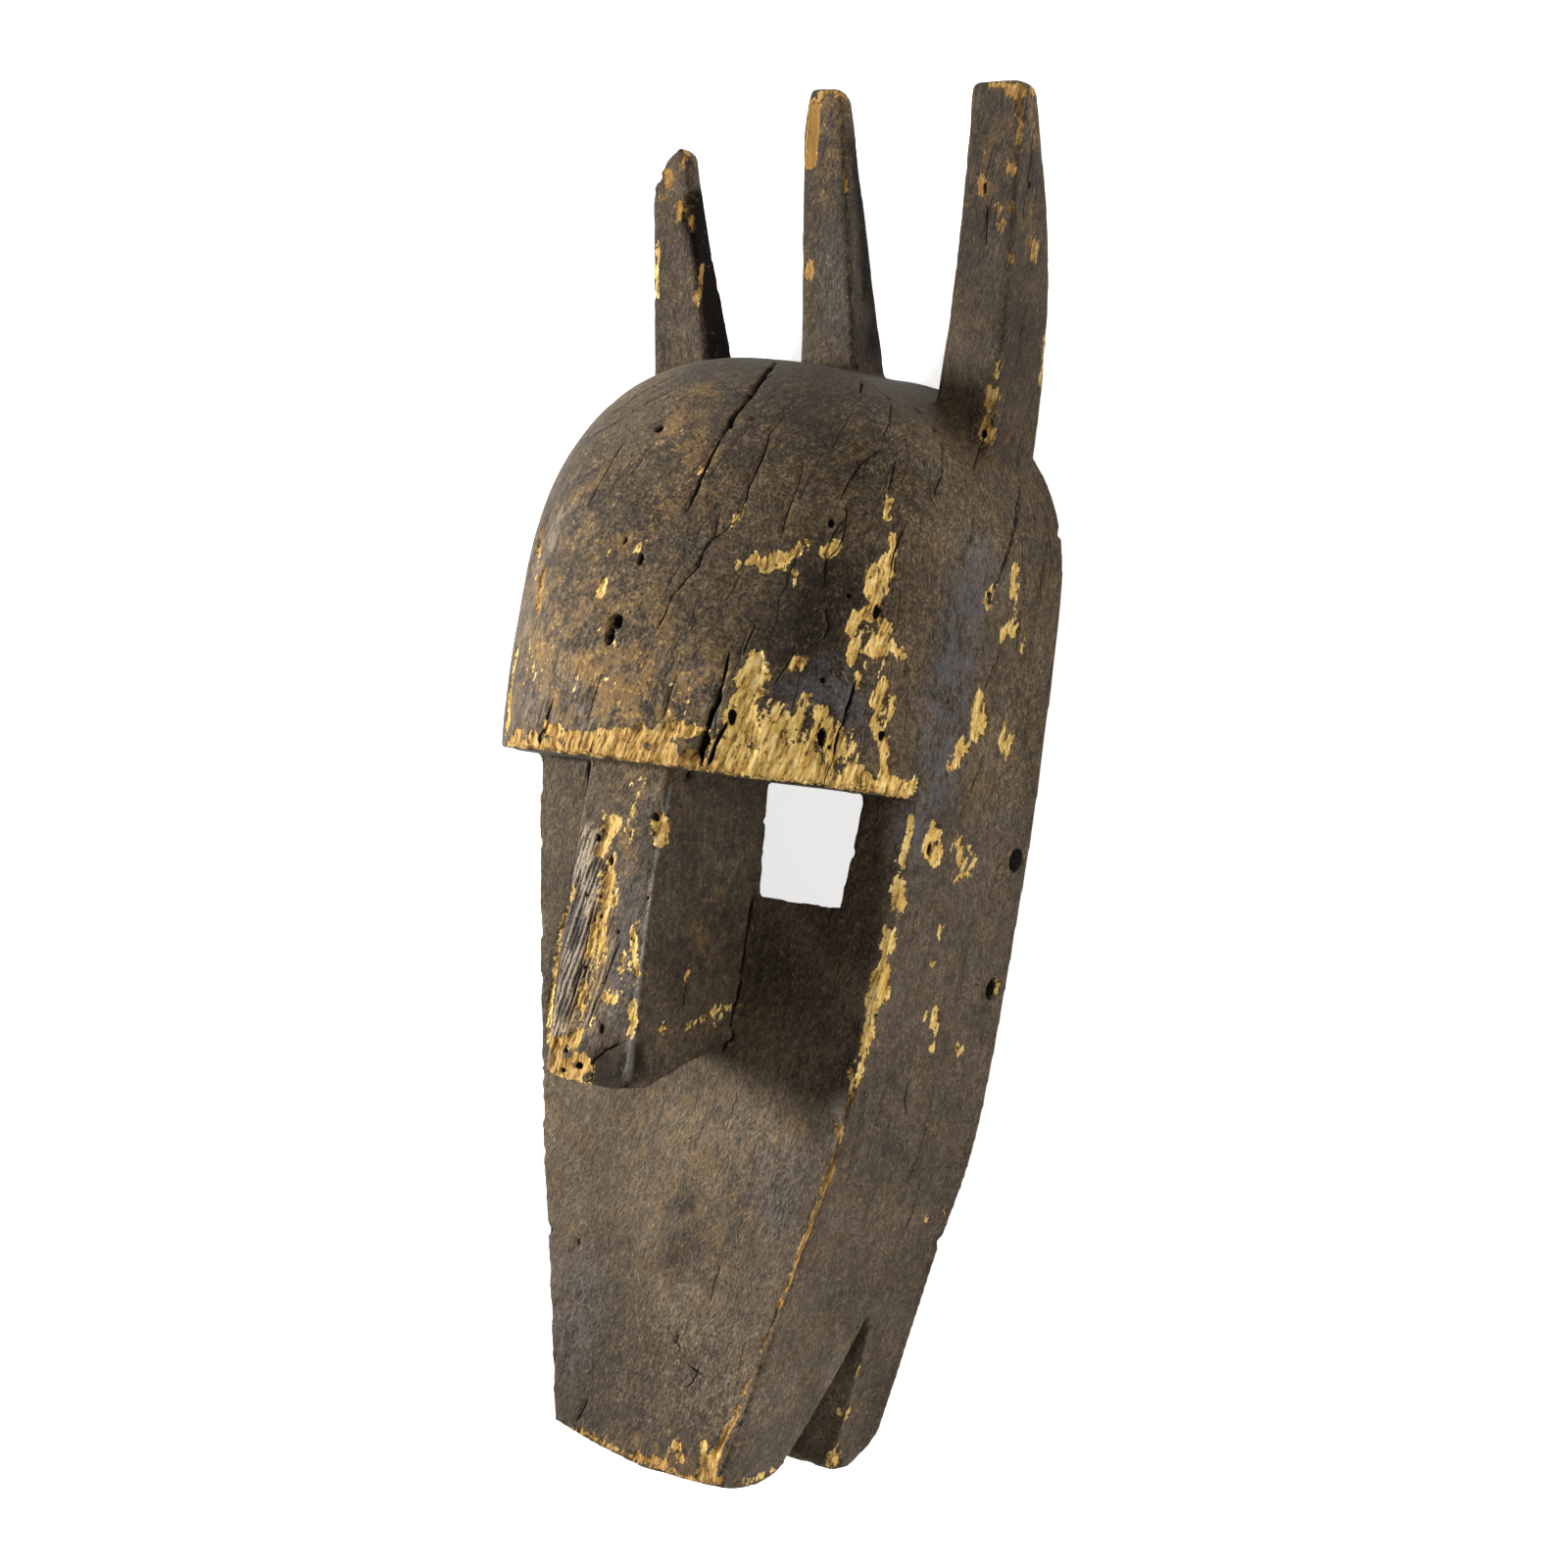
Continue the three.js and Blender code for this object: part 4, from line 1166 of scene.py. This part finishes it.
def marks_at(points, normals):
    """How deep the marks are at points of the plain carving, in mm, and the marks that the material shows."""
    grain = grain_coordinates(points)
    towards = photo_side(normals)
    seen = towards > SEEN_UNTIL
    inner = inside_share(points, normals)
    hidden = clamp_step(HIDDEN_FROM, HIDDEN_FULLY, towards) * (1 - inner)
    arris = distances(points, arrises)
    crack, apart, gape = crack_field(points, normals, grain, seen, inner)
    hole = hole_field(points, normals)
    bore_shade, worn_rim = strap_field(points)
    bare, clean = bare_field(points, grain, seen, arris, hidden)
    bare = np.maximum(bare, worn_rim)
    tones = tone_fields(points, seen, hidden)
    depth, ridge = worn_depth(points, grain, inner, arris, bare, clean, tones)
    depth += crack + hole + torn_edge(points, normals)
    depth += nick_field(points)
    # Painted shade in the holes, full where a hole is deep enough, and in the strap holes' bores
    hole_shade = np.clip(np.maximum(hole / HOLE_SHADE_DEPTH, bore_shade), 0, 1)
    shown = {"bare": bare, "clean": clean, "hole_shade": hole_shade, "apart": apart, "gape": gape}
    return depth, {**shown, "inner": inner, "ridge": ridge, **tones}


def inside_box(points):
    """The points, with any outside the solid's box moved onto it."""
    low, high = (np.array(corner) / MM for corner in cad_box)
    return np.clip(points, low, high)


def carve(mesh):
    """Move the fine mesh inwards by every mark. Returns its old places and normals, and its new places."""
    points, normals = points_of(mesh), normals_of(mesh)
    depth, _ = marks_at(points, normals)
    moved = inside_box(points - normals * depth[:, None])
    set_points(mesh, moved)
    return points, normals, moved


def thinned(mesh, points, normals, moved):
    """The mesh with fewer triangles, and on its points the marks that the material shows."""
    triangles = sum(len(face.vertices) - 2 for face in mesh.polygons)
    made = with_modifier(mesh, "DECIMATE", ratio=TRIANGLES / triangles, use_collapse_triangulate=True)
    tree = tree_of(moved)
    kept = points_of(made)
    source = np.fromiter((tree.find(point)[1] for point in kept), int, len(kept))
    _, shown = marks_at(points[source] + kept - moved[source], normals[source])
    set_points(made, inside_box(kept))
    for name, values in shown.items():
        attribute = made.attributes.new(name, "FLOAT", "POINT")
        attribute.data.foreach_set("value", values.astype(np.float32))
    return made


# The marks laid on the solid, and the mesh carved with them

TONES = {
    "thin": THIN_PATINA,
    "blue": BLUE_GREY,
    "dark": DARK,
    "pale": PALE,
    "fibrous": FIBROUS,
    "polish_and_highlight": POLISH_AND_HIGHLIGHT,
    "dull": DULL,
    "rough": ROUGH,
}


def lines_of(table):
    """A table's rows with their pixels laid on the surface."""
    return [(*measures, surface_line(pixels)) for *measures, pixels in table.values()]


tone_lines = {name: lines_of(table) for name, table in TONES.items()}
bare_lines = lines_of(BARE_WOOD)
split_lines = lines_of(SPLIT_WOOD)
broken_lines = lines_of(BROKEN_PATINA)
eye_hole_rim = surface_line(EYE_HOLE_RIM, 4.0)
nick_places = [(radius, surface_point(pixel)) for radius, pixel in NICKS.values()]

carving = plain_carving()
starts = crack_starts(carving)

crack_lines = [(*crack, "seen") for crack in lines_of(CRACKS)]
crack_lines += [(*THIN_CRACK, surface_line(pixels), "seen") for pixels in THIN_CRACKS.values()]
crack_lines += [(*THINNEST_CRACK, surface_line(pixels), "seen") for pixels in THINNEST_CRACKS.values()]
for part, count, longest in CHANCE_CRACKS:
    crack_lines += chance_cracks(starts[part], count, longest)
hair_lines = []
for part, count, longest in HAIR_CRACKS:
    hair_lines += hair_cracks(starts[part], count, longest)
nick_places += chance_nicks()
hole_places = [(*measures, surface_point(pixel)) for *measures, pixel in HOLES.values()]
hole_places += chance_holes(starts["outside"])

nose_lines = [surface_line(row[2]) for name, row in FIBROUS.items() if name.startswith("nose")]
strap_rims = [strap_rim(level, side) for level in STRAP_LEVELS for side in (-1, 1)]
mark_lines = [row[2] for row in crack_lines] + [row[3][None] for row in hole_places]
cut_near(carving, nose_lines, reach=7.0, cuts=BARE_CUTS)
cut_near(carving, strap_rims, reach=2.0, cuts=BARE_CUTS)
cut_near(carving, [line for _, line in bare_lines + split_lines], reach=3.0, cuts=BARE_CUTS)
cut_near(carving, mark_lines, reach=1.5, cuts=CRACK_CUTS)
piece_mesh = thinned(carving, *carve(carving))


# The wood's material

class Graph:
    """Builds a material's nodes. Values may be numbers, colours or other nodes' outputs."""

    def __init__(self, material):
        self.tree = material.node_tree

    def feed(self, socket, value):
        if isinstance(value, bpy.types.NodeSocket):
            self.tree.links.new(value, socket)
        else:
            socket.default_value = value

    def node(self, kind, inputs=None, **settings):
        made = self.tree.nodes.new(kind)
        for name, value in settings.items():
            setattr(made, name, value)
        for key, value in (inputs or {}).items():
            self.feed(made.inputs[key], value)
        return made

    def math(self, operation, *values):
        return self.node("ShaderNodeMath", dict(enumerate(values)), operation=operation).outputs[0]

    def times(self, first, second):
        return self.math("MULTIPLY", first, second)

    def inverse(self, value):
        return self.math("SUBTRACT", 1, value)

    def about(self, middle, noises, fields=()):
        """A value round the middle: noises, which lie round 0.5, and fields, each times its weight."""
        total = middle - 0.5 * sum(weight for _, weight in noises)
        for value, weight in [*noises, *fields]:
            total = self.math("MULTIPLY_ADD", value, weight, total)
        return total

    def step(self, low, high, value):
        inputs = {"Value": value, "From Min": low, "From Max": high}
        return self.node("ShaderNodeMapRange", inputs, interpolation_type="SMOOTHSTEP").outputs["Result"]

    def mix(self, amount, first, second, blend="MIX"):
        inputs = {0: amount, 6: first, 7: second}
        return self.node("ShaderNodeMix", inputs, data_type="RGBA", blend_type=blend).outputs[2]

    def tinted(self, amount, colour, tint):
        return self.mix(amount, colour, tint, "MULTIPLY")

    def noise(self, vector, size, detail=2.0, roughness=0.5):
        inputs = {"Vector": vector, "Scale": 1 / size, "Detail": detail, "Roughness": roughness}
        return self.node("ShaderNodeTexNoise", inputs).outputs[0]

    def ramp(self, value, stops):
        made = self.node("ShaderNodeValToRGB", {"Fac": value})
        elements = made.color_ramp.elements
        while len(elements) < len(stops):
            elements.new(0.5)
        for element, (position, colour) in zip(elements, stops):
            element.position = position
            element.color = colour
        return made.outputs["Color"]


class WoodGraph(Graph):
    """A graph with the marks and the noises that the layers of the wood share."""

    def __init__(self, material):
        super().__init__(material)
        place = self.node("ShaderNodeTexCoord").outputs["Object"]
        place = self.node("ShaderNodeVectorMath", {0: place, "Scale": 1 / MM}, operation="SCALE").outputs[0]
        x, self.y, z = self.node("ShaderNodeSeparateXYZ", {0: place}).outputs
        sideways = self.math("MULTIPLY_ADD", self.y, -GRAIN_LEAN, x)
        height = self.math("SUBTRACT", z, PITH_HEIGHT)
        across = self.times(self.math("ARCTAN2", sideways, height), PITH_RADIUS)
        self.across = self.about(0, [(self.noise(place, 40, 1), 8)], [(across, 1)])
        squared = self.times(sideways, sideways)
        self.radius = self.math("SQRT", self.math("MULTIPLY_ADD", height, height, squared))
        fibre = self.along_grain(12, 0.3)
        splinter = self.along_grain(5, 0.5)
        streak = self.along_grain(1.7, 1)
        self.broad = self.noise(place, 38, 3, 0.55)
        self.tint = self.noise(place, 12, 3, 0.6)
        self.mottle = self.noise(streak, 6, 4, 0.65)
        self.blotch = self.noise(streak, 2.2, 3, 0.65)
        self.grit = self.noise(streak, 0.8, 2, 0.6)
        self.crumbs = self.noise(place, 1.7, 4, 0.7)
        self.fine_fibre = self.noise(fibre, 0.8, 3, 0.6)
        self.wide_fibre = self.noise(fibre, 3, 3, 0.55)
        self.splinters = self.noise(splinter, 1.3, 3, 0.65)
        self.threads = self.noise(fibre, 0.75, 2, 0.6)
        self.pores = self.noise(streak, 1.1, 1)
        self.ragged = self.inverse(self.mark("clean"))

    def along_grain(self, stretch, sheets):
        """Places stretched along the grain by so many times, and from sheet to sheet by a share."""
        parts = {0: self.across, 1: self.times(self.y, 1 / stretch), 2: self.times(self.radius, sheets)}
        return self.node("ShaderNodeCombineXYZ", parts).outputs[0]

    def mark(self, name):
        """One of the marks that the mesh carries."""
        return self.node("ShaderNodeAttribute", attribute_name=name).outputs["Fac"]


def rgb(red, green, blue):
    return (red, green, blue, 1.0)


PATINA_COLOURS = [
    (0.05, rgb(0.012, 0.008, 0.005)),
    (0.32, rgb(0.042, 0.029, 0.017)),
    (0.55, rgb(0.088, 0.063, 0.038)),
    (0.78, rgb(0.150, 0.113, 0.074)),
    (1.00, rgb(0.270, 0.206, 0.128)),
]
HOLLOW_COLOURS = [
    (0.1, rgb(0.030, 0.019, 0.011)),
    (0.5, rgb(0.105, 0.066, 0.036)),
    (0.9, rgb(0.230, 0.152, 0.086)),
]
HONEY_COLOURS = [
    (0.05, rgb(0.075, 0.034, 0.008)),
    (0.25, rgb(0.310, 0.172, 0.046)),
    (0.50, rgb(0.510, 0.320, 0.084)),
    (0.75, rgb(0.640, 0.430, 0.130)),
    (1.00, rgb(0.780, 0.590, 0.260)),
]
WARM_TINT = rgb(1.0, 0.88, 0.68)
COOL_TINT = rgb(0.84, 0.90, 1.0)
DOME_TINT = rgb(1.0, 0.94, 0.77)
DULL_TINT = rgb(0.46, 0.38, 0.34)
SPLIT_TINT = rgb(0.48, 0.41, 0.30)
NEAR_BLACK = rgb(0.006, 0.005, 0.004)
STAIN_GREY = rgb(0.060, 0.062, 0.076)
RIDGE_GREY = rgb(0.420, 0.345, 0.245)
RIDGE_OCHRE = rgb(0.300, 0.185, 0.070)
FURROW = rgb(0.020, 0.015, 0.011)
# A painted highlight on the polished arrises
BURNISH_AND_HIGHLIGHT = rgb(0.300, 0.265, 0.230)
STAIN_BROWN = rgb(0.195, 0.112, 0.036)
SPECK_OCHRE = rgb(0.380, 0.225, 0.075)
EDGE_BROWN = rgb(0.110, 0.062, 0.024)
PORE_BLACK = rgb(0.012, 0.009, 0.006)
# Painted shade inside cracks and holes
CRACK_AND_HOLE_SHADE = rgb(0.008, 0.006, 0.004)


def patina_layer(g):
    """Patina, near black to grey brown, with some painted shade and light, and how far stain and painted
    shade blacken it.
    """
    below_horns = g.inverse(g.step(125, 150, g.y))
    on_dome = g.times(g.step(-8, 8, g.y), below_horns)
    thin, blue, dark = g.mark("thin"), g.mark("blue"), g.mark("dark")
    crusty = g.about(0.65, [], [(on_dome, 0.2), (thin, 0.35), (g.mark("rough"), 0.3), (blue, 0.35)])
    variation = g.about(0, [(g.mottle, 0.6), (g.blotch, 1.05), (g.grit, 1.5), (g.fine_fibre, 0.4)])
    varied = g.times(variation, crusty)
    # The pale and dark marks lighten and darken the patina: its own tone, and in places painted light and
    # shade
    fields = [(varied, 1), (g.mark("pale"), 0.15), (dark, -0.2), (g.mark("fibrous"), 0.06)]
    patina = g.ramp(g.about(0.42, [(g.broad, 0.6)], fields), PATINA_COLOURS)
    patina = g.tinted(g.times(g.step(0.52, 0.68, g.tint), 0.5), patina, WARM_TINT)
    patina = g.tinted(g.times(g.inverse(g.step(0.32, 0.48, g.tint)), 0.7), patina, COOL_TINT)
    patina = g.tinted(g.times(on_dome, 0.8), patina, DOME_TINT)
    # Near black where the dark marks are strongest: black stain, and painted shade on the horns' sides
    blackened_and_shaded = g.times(g.step(0.55, 1.5, dark), 0.92)
    patina = g.mix(blackened_and_shaded, patina, NEAR_BLACK)
    bluish = g.times(blue, g.step(0.38, 0.58, g.about(0.5, [(g.mottle, 0.8), (g.blotch, 0.8)])))
    return g.mix(g.times(bluish, 0.7), patina, STAIN_GREY), blackened_and_shaded


def weathered_layer(g, patina):
    """Raised grey fibres where the surface has weathered along the grain, and the polish of handling with its
    painted highlight.
    """
    fibrous = g.mark("fibrous")
    combed = g.about(0.5, [(g.fine_fibre, 1.0), (g.mottle, 0.4)], [(g.mark("ridge"), -0.28)])
    raised = g.times(fibrous, g.step(0.45, 0.62, combed))
    sunk = g.times(fibrous, g.inverse(g.step(0.30, 0.42, combed)))
    ridges = g.mix(g.times(g.mark("thin"), 0.7), RIDGE_GREY, RIDGE_OCHRE)
    patina = g.mix(g.times(raised, 0.8), patina, ridges)
    patina = g.mix(g.times(sunk, 0.85), patina, FURROW)
    # Polish of handling, its lighter colour a painted highlight along the arrises
    burnish_and_highlight = g.times(g.mark("polish_and_highlight"), g.about(0.55, [(g.blotch, 1.2)]))
    return g.mix(burnish_and_highlight, patina, BURNISH_AND_HIGHLIGHT)


def stained_layer(g, patina):
    """Thin patina: brown stain, then ochre specks."""
    stain = g.times(g.mark("thin"), g.step(0.46, 0.62, g.about(0.5, [(g.mottle, 1.1), (g.crumbs, 0.5)])))
    patina = g.mix(g.times(stain, 0.72), patina, STAIN_BROWN)
    speck = g.about(0.5, [(g.grit, 1.0), (g.blotch, 0.8), (g.crumbs, 1.2)], [(stain, 0.14)])
    speck = g.times(g.step(0.74, 0.86, speck), g.about(0.25, [], [(stain, 0.6)]))
    return g.mix(speck, patina, SPECK_OCHRE)


def hollow_wood(g):
    """The wood of the hollow, never blackened as deeply, and plainer."""
    noises = [(g.wide_fibre, 1.0), (g.mottle, 0.8), (g.fine_fibre, 0.8), (g.broad, 0.8), (g.grit, 0.4)]
    return g.ramp(g.about(0.45, noises), HOLLOW_COLOURS)


def bare_wood(g):
    """Bare wood, honey coloured and fibrous, and duller where it has been bare for long."""
    splintered = g.about(0, [(g.splinters, 1.5), (g.threads, 1.7), (g.crumbs, 0.6), (g.grit, 0.6)])
    # The pale marks lighten bare wood too: painted light on the bare patches along the face's edge
    fields = [(g.times(splintered, g.ragged), 1), (g.ragged, 0.19), (g.mark("pale"), 0.16)]
    honey = g.ramp(g.about(0.38, [(g.wide_fibre, 0.6)], fields), HONEY_COLOURS)
    honey = g.tinted(g.times(g.mark("dull"), g.ragged), honey, DULL_TINT)
    return g.tinted(g.mark("clean"), honey, SPLIT_TINT)


def with_bare_wood(g, wood):
    """The wood with its bare places, frayed at their edges, and how bare each place is."""
    frayed = g.about(0, [(g.splinters, 4.0), (g.crumbs, 2.2), (g.wide_fibre, 2.2), (g.grit, 1.8)])
    frayed = g.math("MULTIPLY_ADD", frayed, g.ragged, g.mark("bare"))
    wood = g.mix(g.times(g.step(-0.9, -0.1, frayed), 0.4), wood, EDGE_BROWN)
    bared = g.step(-0.12, 0.12, frayed)
    return g.mix(bared, wood, bare_wood(g)), bared


def wood_material():
    material = bpy.data.materials.new("weathered wood")
    material.use_nodes = True
    material.node_tree.nodes.clear()
    g = WoodGraph(material)

    patina, blackened_and_shaded = patina_layer(g)
    patina = stained_layer(g, weathered_layer(g, patina))
    wood, bared = with_bare_wood(g, g.mix(g.mark("inner"), patina, hollow_wood(g)))

    # Small pits, then painted shade in the open cracks and holes
    pit = g.step(0.69, 0.74, g.pores)
    wood = g.mix(g.times(pit, 0.85), wood, PORE_BLACK)
    within_reach = g.inverse(g.step(0.9, 1.5, g.mark("apart")))
    crack = g.times(g.inverse(g.step(0.75, 1.2, g.math("ABSOLUTE", g.mark("gape")))), within_reach)
    cut = g.math("MAXIMUM", crack, g.step(0.3, 0.7, g.mark("hole_shade")))
    wood = g.mix(cut, wood, CRACK_AND_HOLE_SHADE)

    # Relief finer than the mesh: crust, cracks, combed fibres and torn splinters
    crust = g.about(0, [(g.grit, 1.4), (g.blotch, 0.7), (g.crumbs, 0.9), (g.fine_fibre, 0.5)])
    crust = g.times(crust, g.about(1, [], [(bared, -0.7)]))
    height = g.about(0, [], [(crust, 1), (crack, -1.5), (pit, -0.8), (bared, -0.6)])
    height = g.math("MULTIPLY_ADD", g.fine_fibre, g.times(g.mark("fibrous"), 2.2), height)
    torn = g.about(0, [(g.splinters, 0.6), (g.threads, 0.8)])
    height = g.math("MULTIPLY_ADD", torn, g.times(g.times(bared, g.ragged), 3.0), height)
    bump = g.node("ShaderNodeBump", {"Height": height, "Strength": 0.85, "Distance": 0.7 * MM}).outputs[0]

    matt = g.about(0.74, [(g.mottle, 0.4), (g.grit, 0.3)], [(bared, 0.1), (g.mark("polish_and_highlight"), -0.36)])
    inputs = {
        "Base Color": wood,
        "Roughness": g.math("MINIMUM", matt, 0.95),
        "Specular IOR Level": g.times(g.inverse(blackened_and_shaded), 0.2),
        "Normal": bump,
    }
    shader = g.node("ShaderNodeBsdfPrincipled", inputs)
    g.node("ShaderNodeOutputMaterial", {"Surface": shader.outputs[0]})
    return material


piece_mesh.name = "kore_mask_carving"
piece_mesh.materials.clear()
piece_mesh.materials.append(wood_material())
piece_mesh.polygons.foreach_set("use_smooth", np.ones(len(piece_mesh.polygons), bool))
piece = linked("kore_mask_carving", piece_mesh)
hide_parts(NODE)
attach(piece, "root")


# Floor and light

def make_floor():
    """A pale floor. It glows, so that it stays nearly white round the mask's soft shadow."""
    half = 8
    glow = 0.74
    mesh = bpy.data.meshes.new("floor")
    corners = [(-half, -half, 0), (half, -half, 0), (half, half, 0), (-half, half, 0)]
    mesh.from_pydata(corners, [], [(0, 1, 2, 3)])
    floor = linked("floor", mesh)
    material = bpy.data.materials.new("pale floor")
    material.use_nodes = True
    shader = material.node_tree.nodes["Principled BSDF"]
    shader.inputs["Base Color"].default_value = rgb(0.86, 0.86, 0.855)
    shader.inputs["Roughness"].default_value = 0.9
    shader.inputs["Emission Color"].default_value = rgb(1, 1, 1)
    shader.inputs["Emission Strength"].default_value = glow
    mesh.materials.append(material)


def area_light(name, direction, distance, size, power, colour):
    """A square light that looks at the mask from a direction."""
    data = bpy.data.lights.new(name, "AREA")
    data.size = size
    data.energy = power
    data.color = colour
    light = linked(name, data)
    towards = Vector(direction).normalized()
    light.location = CAMERA_TARGET + towards * distance
    light.rotation_euler = towards.to_track_quat("Z", "Y").to_euler()


def make_world():
    """Soft light from all round, with a paler studio wall behind the floor's far edge."""
    ambient = 0.22
    wall = 1.03
    world = bpy.data.worlds.new("studio")
    world.use_nodes = True
    nodes = world.node_tree.nodes
    background = nodes["Background"]
    background.inputs["Color"].default_value = rgb(1.0, 0.99, 0.98)
    strength = nodes.new("ShaderNodeMath")
    strength.operation = "MULTIPLY_ADD"
    strength.inputs[1].default_value = wall - ambient
    strength.inputs[2].default_value = ambient
    path = nodes.new("ShaderNodeLightPath")
    world.node_tree.links.new(path.outputs["Is Camera Ray"], strength.inputs[0])
    world.node_tree.links.new(strength.outputs[0], background.inputs["Strength"])
    bpy.context.scene.world = world


def make_light():
    area_light("key", (-0.76, 0.02, 0.62), distance=2.0, size=0.45, power=95, colour=(1.0, 0.985, 0.96))
    area_light("side fill", (0.92, 0.1, 0.3), distance=2.2, size=1.4, power=22, colour=(1.0, 0.99, 0.97))
    area_light("camera fill", BACK, distance=2.6, size=1.6, power=10, colour=(1.0, 0.99, 0.98))
    make_world()
    bpy.context.scene.view_settings.view_transform = "Standard"


make_floor()
make_light()
